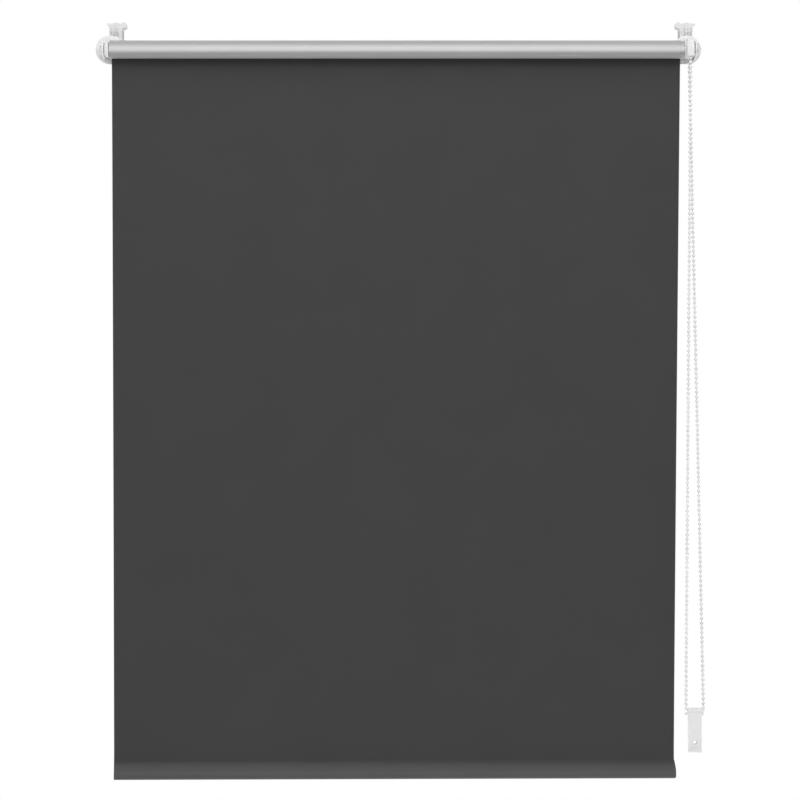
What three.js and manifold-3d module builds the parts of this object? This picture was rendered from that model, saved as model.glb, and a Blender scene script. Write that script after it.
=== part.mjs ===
// Clamp-on roller blind, drawn at full drop. Millimetres, +Z up, +Y towards the
// window, -Y towards the room, +X along the roller to the chain end. The origin
// lies on the top edge of the window sash, midway between the two clamps.
import * as THREE from "three";
import { mergeVertices } from "three/addons/utils/BufferGeometryUtils.js";
import Module from "manifold-3d";

const wasm = await Module();
wasm.setup();

// ---------------------------------------------------------------- driving sizes
const GAP = 0.3; // clearance between pieces that touch

// fabric and hem
const FABRIC_WIDTH = 726.6;
const FABRIC_THICKNESS = 0.45;
const DROP = 930.4; // roller axis to the bottom of the hem
const HEM_NARROWING_IDLE = 3.1; // fabric edge to hem edge, idle end
const HEM_NARROWING_DRIVE = 5.6; // the same, chain end
const HEM_HEIGHT = 24.2;
const HEM_THICKNESS = 6.8;
const BAR_HEIGHT = 11.5;
const BAR_THICKNESS = 4;
const BAR_CAP_THICKNESS = 1.2;

// roller
const AXIS_Y = -24.5;
const AXIS_Z = -28.1;
const TUBE_RADIUS = 11;
const TUBE_WALL = 1;
const TUBE_BEYOND_IDLE = 2.5; // tube past the fabric at the idle end
const TUBE_BEYOND_DRIVE = 3.6; // tube past the fabric at the chain end
const KEY_WIDTH = 2.2;
const KEY_HEIGHT = 1.6;

// idle end
const DOME_LENGTH = 5.4;
const DOME_RADIUS = 9.9;
const PLUG_LENGTH = 31;
const PIN_RADIUS = 2.4;
const PIN_REACH = 4.9; // pin past the cheek's inner face
const PIN_COLLAR_RADIUS = 4.2;
const COLLAR_THICKNESS = 1.5;
const CHAMBER_FROM_DOME = 12; // dome's tip to the chamber that holds the collar
const PLUG_FLOOR = 2.5; // closed end of the plug behind the spring
const PIN_SPRING_WIRE = 0.35;
const PIN_SPRING_TURNS = 7;
const FIN_COUNT = 8; // one of them is left out for the tube's key
const FIN_HALF = 0.7;

// chain drive
const ADAPTER_FLANGE = 1.6;
const ADAPTER_LENGTH = 31;
const WHEEL_GAP = 0.4;
const WHEEL_WIDTH = 8;
const GUARD_WALL = 1.2;
const CORE_FLANGE = 1.2;
const CORE_RADIUS = 4.5;
const CORE_LENGTH = 36;
const CORE_FLANGE_RADIUS = 8;
const WRAP_WIRE = 0.45;
const WRAP_TURNS = 6;
const WRAP_LENGTH = 8;
const BEAD_RADIUS = 2.25;
const WHEEL_PITCH_RADIUS = 10.5; // eleven beads at 6 mm
const GROOVE_FROM_WHEEL_END = 2.85; // middle of the groove to the wheel's outer end
const GUARD_RADIUS = 14.6;
const GUARD_WIDTH = 8.8;
const GUARD_SKIRT = 9.5; // straight walls below the axis

// brackets
const SLIDER_THICKNESS = 1.6;
const SLIDER_ABOVE = 11; // slider past the roller axis, upwards
const SLIDER_BELOW = 13; // the same, downwards
const RAIL_BACK = 1.5; // back of the rails that hook behind the leg
const CHEEK_THICKNESS = 2.3;
const IDLE_CHEEK_HALF = 8.9; // half the cheek's height, idle end
const DRIVE_CHEEK_HALF = 11; // the same, chain end
const GUSSET_THICKNESS = 1.6;
const SCREW_HEAD_RADIUS = 2.9;
const DISC_RADIUS = 18.4;
const DISC_THICKNESS = 2;
const DISC_Z = -26.2;
const IDLE_CHEEK_OUT = 12.9; // leg's middle to the cheek's inner face, idle end
const DRIVE_CHEEK_OUT = 8.9; // the same, chain end
const IDLE_DISC_OUT = 7.1; // leg's middle to the disc's middle, idle end
const DRIVE_DISC_OUT = 0.7; // the same, chain end

// clamps
const LEG_WIDTH = 16.3;
const LEG_THICKNESS = 3;
const LEG_LENGTH = 44;
const HEAD_HEIGHT = 7.5;
const HEAD_FRONT = -6.5;
const HEAD_BACK = 12;
const SCREW_Z = 3.1;
const SCREW_RADIUS = 1.5;
const SCREW_PITCH = 1.25;
const SCREW_END = 21;
const TOE_Z = -3; // where the head's front starts to slope back to the leg
const TOE_END_Z = -9; // where it meets the leg
const GROOVE_PLACES = [-5.7, -1.8, 2.1]; // finger grooves down the head's front
const GROOVE_HALF = 0.65;
const GROOVE_DEPTH = 0.9;
const GROOVE_TOP = 1.5;
const BRIDGE_HALF = 6; // half the width of the bridge between jaw and clamp
const BRIDGE_TOP = 6;
const BRIDGE_BOTTOM = 0.6;
const THUMBWHEEL_RADIUS = 6.6;
const THUMBWHEEL_THICKNESS = 3.8;
const THUMBWHEEL_FRONT = -4.8;
const THUMBWHEEL_FLUTES = 18;
const FLUTE_DEPTH = 0.55;
const JAW_FRONT = 22; // jaw's clamping face behind the leg's back face
const JAW_THICKNESS = 3;
const JAW_DEPTH = 30;
const JAW_RIB_OFFSET = 5;
const JAW_RIB_HEIGHT = 1.6;
const BRIDGE_START = 6.8;
const FOAM_THICKNESS = 2;
const FOAM_WIDTH = 12;
const FOAM_LENGTH = 24;
const FOAM_Z = -16;

// chain tag
const TAG_X = 374.2;
const TAG_TOP = -866.5;
const TAG_WIDTH = 16.8;
const TAG_HEIGHT = 56;
const TAG_WALL = 1.6;
const TAG_HOLE_RADIUS = 2.4;
const TAG_HOLE_FROM_TOP = 43.5;

// ------------------------------------------------------------- worked-out places
const tubeLength = FABRIC_WIDTH + TUBE_BEYOND_IDLE + TUBE_BEYOND_DRIVE;
const idleStack = GAP + DOME_LENGTH + GAP;
const driveStack =
  GAP + ADAPTER_FLANGE + WHEEL_GAP + WHEEL_WIDTH + GAP + GUARD_WALL + GAP + CORE_FLANGE + GAP;
const cheekGap = idleStack + tubeLength + driveStack;
const hookSpacing = cheekGap - IDLE_CHEEK_OUT - DRIVE_CHEEK_OUT;
const idleLegX = -hookSpacing / 2;
const driveLegX = hookSpacing / 2;
const idleCheekX = idleLegX - IDLE_CHEEK_OUT;
const driveCheekX = driveLegX + DRIVE_CHEEK_OUT;
const tubeStart = idleCheekX + idleStack;
const tubeEnd = tubeStart + tubeLength;
const fabricStart = tubeStart + TUBE_BEYOND_IDLE;
const fabricEnd = fabricStart + FABRIC_WIDTH;
const wheelStart = tubeEnd + GAP + ADAPTER_FLANGE + WHEEL_GAP;
const wheelEnd = wheelStart + WHEEL_WIDTH;
const grooveX = wheelEnd - GROOVE_FROM_WHEEL_END;
const webStart = wheelEnd + GAP;
const coreFlangeStart = webStart + GUARD_WALL + GAP;
const coreEnd = coreFlangeStart + CORE_FLANGE;
const coreTip = coreEnd - CORE_LENGTH;
const collarFace = tubeStart - GAP - DOME_LENGTH + CHAMBER_FROM_DOME + GAP;
const rollInner = TUBE_RADIUS + GAP;
const rollOuter = rollInner + FABRIC_THICKNESS;
const hemBottom = AXIS_Z - DROP;
const hemTop = hemBottom + HEM_HEIGHT;
const sheetBack = AXIS_Y + rollOuter;
const sheetMiddle = sheetBack - FABRIC_THICKNESS / 2;
const hemStart = fabricStart + HEM_NARROWING_IDLE;
const hemEnd = fabricEnd - HEM_NARROWING_DRIVE;
const legFront = -LEG_THICKNESS;
const sliderFront = legFront - GAP - SLIDER_THICKNESS;
const discFront = sliderFront - DISC_THICKNESS;

// The endless bead chain, in the order it is followed: over the wheel from back to
// front, down the front run, round inside the tag, and up the back run.
const CHAIN_OVER_WHEEL = [
  [368, -14, -38],
  [368, -14, -33],
  [368, -14, -28.1],
  [368, -14.8, -24.08],
  [368, -17.08, -20.68],
  [368, -20.48, -18.4],
  [368, -24.5, -17.6],
  [368, -28.52, -18.4],
  [368, -31.92, -20.68],
  [368, -34.2, -24.08],
  [368, -35, -28.1],
  [368, -35, -33],
  [368, -35, -38],
];
const CHAIN_FRONT_RUN = [
  [368, -35, -38.3],
  [366.7, -32.4, -244],
  [365.4, -29.8, -450],
  [364.1, -27.1, -656],
  [362.8, -24.5, -861.7],
];
const CHAIN_IN_TAG = [
  [362.8, -24.5, -862],
  [362.8, -24.5, -866],
  [363.5, -24.5, -869.4],
  [365.4, -24.5, -872.4],
  [368.4, -24.5, -874.3],
  [371.9, -24.5, -875],
  [376.1, -24.5, -875],
  [379.5, -24.5, -874.3],
  [382.5, -24.5, -872.4],
  [384.4, -24.5, -869.4],
  [385.1, -24.5, -866],
  [385.1, -24.5, -862],
];
const CHAIN_BACK_RUN = [
  [385.1, -24.5, -861.7],
  [380.8, -21.9, -656],
  [376.6, -19.2, -450],
  [372.3, -16.6, -244],
  [368, -14, -38.3],
];

// ------------------------------------------------------------------- finishes
const finish = (color, roughness, metalness = 0) =>
  new THREE.MeshStandardMaterial({ color, roughness, metalness });
const whitePlastic = finish(0xe9e8e5, 0.42);
const silverTube = finish(0xb9bbbd, 0.35, 0.9);
const fabric = finish(0x424243, 0.9);
const steel = finish(0x9a9c9e, 0.35, 1);
const greyPlastic = finish(0x77797b, 0.5);
const foam = finish(0xd6d6d2, 0.95);
const aluminium = finish(0xaeb0b2, 0.4, 1);

// ------------------------------------------------------------- shape building
const AXIS_X = new THREE.Vector3(1, 0, 0);
const ALONG_Y = new THREE.Vector3(0, 1, 0);
const ALONG_Z = new THREE.Vector3(0, 0, 1);

/** Positions only, shared corners merged, collapsed triangles dropped, faces out. */
function closed(geometry) {
  const bare = geometry.clone();
  bare.deleteAttribute("normal");
  bare.deleteAttribute("uv");
  const merged = mergeVertices(bare, 1e-4);
  const position = merged.getAttribute("position");
  const index = merged.getIndex().array;
  const corners = [new THREE.Vector3(), new THREE.Vector3(), new THREE.Vector3()];
  const kept = [];
  let volume = 0;
  for (let i = 0; i < index.length; i += 3) {
    const [a, b, c] = [index[i], index[i + 1], index[i + 2]];
    if (a === b || b === c || c === a) continue;
    kept.push(a, b, c);
    corners[0].fromBufferAttribute(position, a);
    corners[1].fromBufferAttribute(position, b);
    corners[2].fromBufferAttribute(position, c);
    volume += corners[0].dot(corners[1].cross(corners[2]));
  }
  if (volume < 0) {
    for (let i = 0; i < kept.length; i += 3) {
      [kept[i + 1], kept[i + 2]] = [kept[i + 2], kept[i + 1]];
    }
  }
  merged.setIndex(kept);
  return merged;
}

/** A closed geometry as a manifold solid. */
function solid(geometry) {
  const clean = closed(geometry);
  return new wasm.Manifold(
    new wasm.Mesh({
      numProp: 3,
      vertProperties: new Float32Array(clean.getAttribute("position").array),
      triVerts: new Uint32Array(clean.getIndex().array),
    }),
  );
}

/** A manifold solid back as a geometry. */
function shell(manifold) {
  const mesh = manifold.getMesh();
  const geometry = new THREE.BufferGeometry();
  geometry.setAttribute("position", new THREE.Float32BufferAttribute(mesh.vertProperties, 3));
  geometry.setIndex(Array.from(mesh.triVerts));
  return geometry;
}

const join = (...pieces) => shell(pieces.map(solid).reduce((sum, piece) => sum.add(piece)));
const cut = (body, ...holes) =>
  shell(holes.map(solid).reduce((rest, hole) => rest.subtract(hole), solid(body)));
const common = (one, other) => shell(solid(one).intersect(solid(other)));

/** An outline in (Y, Z), carried along X from x0 to x1. */
function prismX(outline, x0, x1, curveSegments = 12) {
  const options = { depth: x1 - x0, bevelEnabled: false, curveSegments };
  const geometry = new THREE.ExtrudeGeometry(outline, options);
  const turn = new THREE.Matrix4().makeBasis(ALONG_Y, ALONG_Z, AXIS_X);
  return geometry.applyMatrix4(turn).translate(x0, 0, 0);
}

/** An outline in (X, Z), carried along Y from y0 to y1. */
function prismY(outline, y0, y1, curveSegments = 12) {
  const options = { depth: y1 - y0, bevelEnabled: false, curveSegments };
  const geometry = new THREE.ExtrudeGeometry(outline, options);
  const back = ALONG_Y.clone().negate();
  const turn = new THREE.Matrix4().makeBasis(AXIS_X, ALONG_Z, back);
  return geometry.applyMatrix4(turn).translate(0, y1, 0);
}

/** A box given by its two corners. */
function block(x0, x1, y0, y1, z0, z1) {
  const geometry = new THREE.BoxGeometry(x1 - x0, y1 - y0, z1 - z0);
  return geometry.translate((x0 + x1) / 2, (y0 + y1) / 2, (z0 + z1) / 2);
}

/** A profile of [x, radius] points turned about the roller axis. */
function turnedX(profile, segments = 28) {
  const points = profile.map(([x, r]) => new THREE.Vector2(r, x));
  const geometry = new THREE.LatheGeometry(points, segments);
  return geometry.rotateZ(-Math.PI / 2).translate(0, AXIS_Y, AXIS_Z);
}

/** A profile of [y, radius] points turned about a line along Y through (x, z). */
function turnedY(profile, x, z, segments = 18) {
  const points = profile.map(([y, r]) => new THREE.Vector2(r, y));
  return new THREE.LatheGeometry(points, segments).translate(x, 0, z);
}

/** A plain round rod between two stations. */
const rodX = (x0, x1, r, segments) =>
  turnedX([[x0, 0], [x0, r], [x1, r], [x1, 0]], segments);
const rodY = (y0, y1, r, x, z, segments) =>
  turnedY([[y0, 0], [y0, r], [y1, r], [y1, 0]], x, z, segments);

/** A rectangle with round corners, centred on (cx, cy). */
function roundedRectangle(cx, cy, width, height, r) {
  const [x0, x1] = [cx - width / 2, cx + width / 2];
  const [y0, y1] = [cy - height / 2, cy + height / 2];
  const shape = new THREE.Shape();
  shape.moveTo(x0 + r, y0);
  shape.lineTo(x1 - r, y0);
  shape.absarc(x1 - r, y0 + r, r, -Math.PI / 2, 0);
  shape.lineTo(x1, y1 - r);
  shape.absarc(x1 - r, y1 - r, r, 0, Math.PI / 2);
  shape.lineTo(x0 + r, y1);
  shape.absarc(x0 + r, y1 - r, r, Math.PI / 2, Math.PI);
  shape.lineTo(x0, y0 + r);
  shape.absarc(x0 + r, y0 + r, r, Math.PI, 1.5 * Math.PI);
  return shape;
}

/** A round wire of the given radius along a curve. */
function wire(curve, radius, sides, steps) {
  const section = new THREE.Shape();
  for (let i = 0; i < sides; i += 1) {
    const angle = (2 * Math.PI * i) / sides;
    const point = [radius * Math.cos(angle), radius * Math.sin(angle)];
    if (i === 0) section.moveTo(...point);
    else section.lineTo(...point);
  }
  return new THREE.ExtrudeGeometry(section, { steps, bevelEnabled: false, extrudePath: curve });
}

/** Helix about the roller axis: x runs evenly while the angle turns. */
class Helix extends THREE.Curve {
  constructor(x0, x1, radius, turns) {
    super();
    Object.assign(this, { x0, x1, radius, turns });
  }

  getPoint(t, target = new THREE.Vector3()) {
    const angle = 2 * Math.PI * this.turns * t;
    return target.set(
      this.x0 + (this.x1 - this.x0) * t,
      AXIS_Y + this.radius * Math.cos(angle),
      AXIS_Z + this.radius * Math.sin(angle),
    );
  }
}

const coil = (x0, x1, radius, turns, wireRadius) =>
  wire(new Helix(x0, x1, radius, turns), wireRadius, 5, turns * 10);

// --------------------------------------------------------------- the two clamps
// Each clamp is drawn about its leg's middle with +X towards the blind's middle.

/** Front outline of the clamp's head: flared outside, rolled lip inside. */
function headOutline() {
  const half = LEG_WIDTH / 2;
  const shape = new THREE.Shape();
  shape.moveTo(-half, -0.6);
  shape.quadraticCurveTo(-half - 0.3, 3.4, -half - 2.6, 5.6);
  shape.quadraticCurveTo(-half - 3.4, 6.6, -half - 2.4, HEAD_HEIGHT);
  shape.lineTo(half - 0.6, HEAD_HEIGHT);
  shape.quadraticCurveTo(half + 0.8, HEAD_HEIGHT + 1.9, half + 3, HEAD_HEIGHT + 1.7);
  shape.quadraticCurveTo(half + 6, HEAD_HEIGHT + 1.2, half + 5.8, 4.4);
  shape.quadraticCurveTo(half + 5.4, 2, half + 2.8, 1.4);
  shape.quadraticCurveTo(half + 0.4, 1, half, -0.6);
  return shape;
}

/** Leg, head with its finger grooves, thumbwheel slot, screw bore and jaw channel. */
function clampBody() {
  const half = LEG_WIDTH / 2;
  const slotHalf = THUMBWHEEL_RADIUS + 0.5;
  const bridgeHalf = BRIDGE_HALF + GAP;
  const toe = new THREE.Shape();
  toe.moveTo(HEAD_FRONT, TOE_Z + 0.5);
  toe.lineTo(HEAD_FRONT, TOE_Z);
  toe.lineTo(legFront, TOE_END_Z);
  toe.lineTo(legFront + 1, TOE_END_Z);
  toe.lineTo(legFront + 1, TOE_Z + 0.5);
  const groove = new THREE.Shape();
  const grooveEnd = TOE_END_Z + 0.8;
  groove.moveTo(HEAD_FRONT - 1, GROOVE_TOP);
  groove.lineTo(HEAD_FRONT + GROOVE_DEPTH, GROOVE_TOP);
  groove.lineTo(HEAD_FRONT + GROOVE_DEPTH, TOE_Z);
  groove.lineTo(legFront + 0.4, grooveEnd);
  groove.lineTo(legFront - 1.5, grooveEnd);
  groove.lineTo(HEAD_FRONT - 1, TOE_Z);
  const grooves = GROOVE_PLACES.map((x) => prismX(groove, x - GROOVE_HALF, x + GROOVE_HALF));
  const body = join(
    block(-half, half, legFront, 0, -LEG_LENGTH, 0.5),
    block(-half, half, HEAD_FRONT, 0, TOE_Z, 0.5),
    prismX(toe, -half, half),
    cut(
      prismY(headOutline(), HEAD_FRONT, HEAD_BACK, 5),
      block(-40, 40, 0, HEAD_BACK + 1, -2, 0),
    ),
  );
  return cut(
    body,
    block(-slotHalf, slotHalf, THUMBWHEEL_FRONT - 0.2, -0.8, -4.1, HEAD_HEIGHT + 4),
    block(-bridgeHalf, bridgeHalf, 0, HEAD_BACK + 1, -1, BRIDGE_TOP + GAP),
    rodY(-6.1, 1, SCREW_RADIUS + GAP, 0, SCREW_Z),
    rodY(legFront - 5, 1, SCREW_RADIUS + 0.2, 0, DISC_Z),
    ...grooves,
  );
}

/** Jaw that hooks behind the sash, with the bored bridge the screw draws in. */
function clampJaw() {
  const half = LEG_WIDTH / 2;
  const jawBack = JAW_FRONT + JAW_THICKNESS;
  const ribBack = jawBack + JAW_RIB_HEIGHT;
  const rib = (x) => block(x - 0.8, x + 0.8, jawBack - 0.5, ribBack, 3 - JAW_DEPTH, BRIDGE_TOP);
  const body = join(
    block(-BRIDGE_HALF, BRIDGE_HALF, BRIDGE_START, jawBack, BRIDGE_BOTTOM, BRIDGE_TOP),
    prismY(
      roundedRectangle(0, (BRIDGE_TOP - JAW_DEPTH) / 2, 2 * half, BRIDGE_TOP + JAW_DEPTH, 2.5),
      JAW_FRONT,
      jawBack,
      4,
    ),
    rib(-JAW_RIB_OFFSET),
    rib(JAW_RIB_OFFSET),
  );
  return cut(body, rodY(BRIDGE_START - 1, jawBack + 3, SCREW_RADIUS + GAP, 0, SCREW_Z));
}

/** Clamp screw with its knurled thumbwheel moulded on. */
function clampScrew() {
  const outline = new THREE.Shape();
  for (let i = 0; i < 2 * THUMBWHEEL_FLUTES; i += 1) {
    const r = THUMBWHEEL_RADIUS - (i % 2) * FLUTE_DEPTH;
    const angle = (Math.PI * i) / THUMBWHEEL_FLUTES;
    const point = [r * Math.cos(angle), r * Math.sin(angle)];
    if (i === 0) outline.moveTo(...point);
    else outline.lineTo(...point);
  }
  const [y0, y1] = [THUMBWHEEL_FRONT, THUMBWHEEL_FRONT + THUMBWHEEL_THICKNESS];
  const knurled = prismY(outline, y0, y1).translate(0, 0, SCREW_Z);
  const r = THUMBWHEEL_RADIUS;
  const rounded = [[y0, 0], [y0, r - 0.8], [y0 + 0.9, r], [y1 - 0.9, r], [y1, r - 0.8], [y1, 0]];
  const threadStart = BRIDGE_START - 3.6;
  const thread = [[y0 - 1.1, 0], [y0 - 1.1, SCREW_RADIUS - 0.1], [threadStart, SCREW_RADIUS - 0.1]];
  for (let y = threadStart; y + SCREW_PITCH < SCREW_END; y += SCREW_PITCH) {
    thread.push([y + 0.5 * SCREW_PITCH, SCREW_RADIUS], [y + SCREW_PITCH, SCREW_RADIUS - 0.35]);
  }
  thread.push([SCREW_END, SCREW_RADIUS - 0.5], [SCREW_END, 0]);
  return join(
    common(knurled, turnedY(rounded, 0, SCREW_Z, 22)),
    turnedY(thread, 0, SCREW_Z, 9),
  );
}

/** Foam strip stuck on a clamping face; y0 is the face's side. */
const foamPad = (y0) =>
  prismY(roundedRectangle(0, FOAM_Z, FOAM_WIDTH, FOAM_LENGTH, 1.5), y0, y0 + FOAM_THICKNESS, 3);

// ------------------------------------------------------------------ the brackets

/** Slider that grips the leg, round disc, and the cheek that carries the roller. */
function bracket(discOut, cheekOut, cheekHalf, holeRadius) {
  const half = LEG_WIDTH / 2;
  const zTop = AXIS_Z + SLIDER_ABOVE;
  const zBottom = AXIS_Z - SLIDER_BELOW;
  const grip = half + GAP + SLIDER_THICKNESS;
  const hookIn = FOAM_WIDTH / 2 + 0.6;
  const r = DISC_RADIUS;
  const disc = [
    [discFront - 0.8, 0],
    [discFront - 0.8, 0.35 * r],
    [discFront - 0.65, 0.6 * r],
    [discFront - 0.35, 0.8 * r],
    [discFront + 0.1, 0.93 * r],
    [discFront + 0.7, r],
    [sliderFront + 0.2, r],
    [sliderFront + 0.2, 0],
  ];
  const cheekInner = -cheekOut;
  const cheekOuter = cheekInner - CHEEK_THICKNESS;
  const cheek = new THREE.Shape();
  cheek.moveTo(sliderFront, AXIS_Z - cheekHalf - 2);
  cheek.lineTo(AXIS_Y + 6, AXIS_Z - cheekHalf);
  cheek.lineTo(AXIS_Y, AXIS_Z - cheekHalf);
  cheek.absarc(AXIS_Y, AXIS_Z, cheekHalf, -Math.PI / 2, -1.5 * Math.PI, true);
  cheek.lineTo(AXIS_Y + 6, AXIS_Z + cheekHalf);
  cheek.lineTo(sliderFront, AXIS_Z + cheekHalf + 2);
  const gusset = new THREE.Shape();
  gusset.moveTo(cheekOuter + 0.5, discFront + 0.5);
  gusset.lineTo(cheekOuter + 0.5, discFront - 10);
  gusset.lineTo(cheekOuter - 5, discFront + 0.5);
  const plate = { depth: GUSSET_THICKNESS, bevelEnabled: false };
  const gussetPlate = new THREE.ExtrudeGeometry(gusset, plate);
  const body = join(
    block(-grip, grip, sliderFront, legFront - GAP, zBottom, zTop),
    block(half + GAP, grip, sliderFront, RAIL_BACK, zBottom, zTop),
    block(-grip, -half - GAP, sliderFront, RAIL_BACK, zBottom, zTop),
    block(hookIn, grip, GAP, RAIL_BACK, zBottom, zTop),
    block(-grip, -hookIn, GAP, RAIL_BACK, zBottom, zTop),
    turnedY(disc, -discOut, DISC_Z, 44),
    prismX(cheek, cheekOuter, cheekInner, 10),
    gussetPlate.clone().translate(0, 0, AXIS_Z + cheekHalf - 3),
    gussetPlate.clone().translate(0, 0, AXIS_Z - cheekHalf + 1.4),
  );
  return cut(
    body,
    rodX(cheekOuter - 1, cheekInner + 1, holeRadius, 24),
    rodY(discFront - 1, legFront, SCREW_RADIUS + GAP, 0, DISC_Z),
    rodY(discFront - 1, discFront + 1.2, SCREW_HEAD_RADIUS + GAP, 0, DISC_Z),
  );
}

/** Small countersunk-style screw that locks the bracket to the leg. */
const bracketScrew = () =>
  turnedY(
    [
      [discFront + 0.2, 0],
      [discFront + 0.2, 2.4],
      [discFront + 0.5, SCREW_HEAD_RADIUS],
      [discFront + 0.9, SCREW_HEAD_RADIUS],
      [discFront + 1, SCREW_RADIUS - 0.1],
      [-0.6, SCREW_RADIUS - 0.1],
      [-0.2, 0.8],
      [-0.2, 0],
    ],
    0,
    DISC_Z,
    20,
  );

// -------------------------------------------------------------------- the roller

/** Aluminium tube with a rolled-in key along its inside. */
function rollerTube() {
  const outer = new THREE.Shape();
  outer.absarc(AXIS_Y, AXIS_Z, TUBE_RADIUS, 0, 2 * Math.PI);
  const inner = TUBE_RADIUS - TUBE_WALL;
  const half = Math.asin(KEY_WIDTH / 2 / inner);
  const bore = new THREE.Path();
  bore.absarc(AXIS_Y, AXIS_Z, inner, -Math.PI / 2 + half, 1.5 * Math.PI - half);
  bore.lineTo(AXIS_Y - KEY_WIDTH / 2, AXIS_Z - inner + KEY_HEIGHT);
  bore.lineTo(AXIS_Y + KEY_WIDTH / 2, AXIS_Z - inner + KEY_HEIGHT);
  outer.holes.push(bore);
  return prismX(outer, tubeStart, tubeEnd, 24);
}

/** The turn of fabric that is still wound on the tube. */
function fabricRoll() {
  const outer = new THREE.Shape();
  outer.absarc(AXIS_Y, AXIS_Z, rollOuter, 0, 2 * Math.PI);
  const bore = new THREE.Path();
  bore.absarc(AXIS_Y, AXIS_Z, rollInner, 0, 2 * Math.PI);
  outer.holes.push(bore);
  return prismX(outer, fabricStart, fabricEnd, 24);
}

/** Fins that grip the tube's bore; the place of the tube's key stays free. */
function fins(x0, x1) {
  const outer = TUBE_RADIUS - TUBE_WALL - GAP;
  const core = TUBE_RADIUS - TUBE_WALL - KEY_HEIGHT - GAP;
  const fin = block(x0, x1, -FIN_HALF, FIN_HALF, core - 0.6, outer);
  const all = [];
  for (let i = 1; i < FIN_COUNT; i += 1) {
    const turned = fin.clone().rotateX(Math.PI + (2 * Math.PI * i) / FIN_COUNT);
    all.push(turned.translate(0, AXIS_Y, AXIS_Z));
  }
  return all;
}

/** Idle-end plug: dome outside the tube, finned body inside, chamber for the pin. */
function idlePlug() {
  const core = TUBE_RADIUS - TUBE_WALL - KEY_HEIGHT - GAP;
  const domeStart = tubeStart - GAP - DOME_LENGTH;
  const flange = tubeStart - GAP;
  const bodyEnd = flange + PLUG_LENGTH;
  const chamber = domeStart + CHAMBER_FROM_DOME;
  const hole = PIN_RADIUS + GAP;
  const profile = [[domeStart, hole], [domeStart, DOME_RADIUS - 4.4]];
  for (let i = 1; i <= 5; i += 1) {
    const angle = (i / 5) * (Math.PI / 2);
    profile.push([
      domeStart + 3.4 * (1 - Math.cos(angle)),
      DOME_RADIUS - 4.4 + 4.4 * Math.sin(angle),
    ]);
  }
  profile.push(
    [flange - 0.8, DOME_RADIUS],
    [flange - 0.8, TUBE_RADIUS - 0.1],
    [flange, TUBE_RADIUS - 0.1],
    [flange, core],
    [bodyEnd, core],
    [bodyEnd, 1.2],
    [bodyEnd - PLUG_FLOOR, 1.2],
    [bodyEnd - PLUG_FLOOR, PIN_COLLAR_RADIUS + 0.4],
    [chamber, PIN_COLLAR_RADIUS + 0.4],
    [chamber, hole],
    [domeStart, hole],
  );
  return join(turnedX(profile), ...fins(flange - 0.4, bodyEnd - 1.5));
}

/** Sprung pin: shaft through the dome, collar in the chamber, tail in the spring. */
function idlePin() {
  const tip = idleCheekX - PIN_REACH;
  const collar = collarFace;
  return turnedX(
    [
      [tip, 0],
      [tip, PIN_RADIUS - 0.8],
      [tip + 0.8, PIN_RADIUS],
      [collar, PIN_RADIUS],
      [collar, PIN_COLLAR_RADIUS],
      [collar + COLLAR_THICKNESS, PIN_COLLAR_RADIUS],
      [collar + COLLAR_THICKNESS, PIN_RADIUS - 0.6],
      [collar + 8, PIN_RADIUS - 0.6],
      [collar + 8.6, PIN_RADIUS - 1.2],
      [collar + 8.6, 0],
    ],
    24,
  );
}

/** Spring between the pin's collar and the plug's floor. */
const idleSpring = () => {
  const clear = PIN_SPRING_WIRE + GAP;
  const start = collarFace + COLLAR_THICKNESS + clear;
  const end = tubeStart - GAP + PLUG_LENGTH - PLUG_FLOOR - clear;
  return coil(start, end, PIN_RADIUS + 0.75, PIN_SPRING_TURNS, PIN_SPRING_WIRE);
};

/** Drive adapter: flange against the tube's end, finned sleeve inside the tube. */
function driveAdapter() {
  const core = TUBE_RADIUS - TUBE_WALL - KEY_HEIGHT - GAP;
  const flange = tubeEnd + GAP;
  const bodyStart = flange - ADAPTER_LENGTH;
  const bore = 7.5;
  const profile = [
    [bodyStart, bore],
    [bodyStart, core],
    [flange, core],
    [flange, TUBE_RADIUS + 0.3],
    [flange + ADAPTER_FLANGE, TUBE_RADIUS + 0.3],
    [flange + ADAPTER_FLANGE, bore],
    [bodyStart, bore],
  ];
  return join(turnedX(profile), ...fins(bodyStart + 1.5, flange + 0.4));
}

/** Chain wheel: grooved rim for the beads and the sleeve that drives the adapter. */
function chainWheel() {
  const sleeveStart = tubeEnd + GAP - ADAPTER_LENGTH + 4;
  const sleeveOuter = 7.2;
  const sleeveInner = 6.3;
  const hubBore = CORE_RADIUS + GAP;
  const rim = WHEEL_PITCH_RADIUS + 1.1;
  const groove = BEAD_RADIUS + GAP;
  const profile = [
    [sleeveStart, sleeveInner],
    [sleeveStart, sleeveOuter],
    [wheelStart, sleeveOuter],
    [wheelStart, rim + 0.9],
    [wheelStart + 1.2, rim + 0.9],
    [wheelStart + 1.2, rim],
  ];
  const lip = Math.asin((rim - WHEEL_PITCH_RADIUS) / groove);
  for (let i = 0; i <= 6; i += 1) {
    const angle = Math.PI - lip + ((Math.PI + 2 * lip) * i) / 6;
    profile.push([
      grooveX + groove * Math.cos(angle),
      WHEEL_PITCH_RADIUS + groove * Math.sin(angle),
    ]);
  }
  profile.push(
    [wheelEnd, rim],
    [wheelEnd, hubBore],
    [wheelStart + 1, hubBore],
    [wheelStart + 1, sleeveInner],
    [sleeveStart, sleeveInner],
  );
  return turnedX(profile, 30);
}

// ------------------------------------------------------------- the fixed clutch

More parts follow.
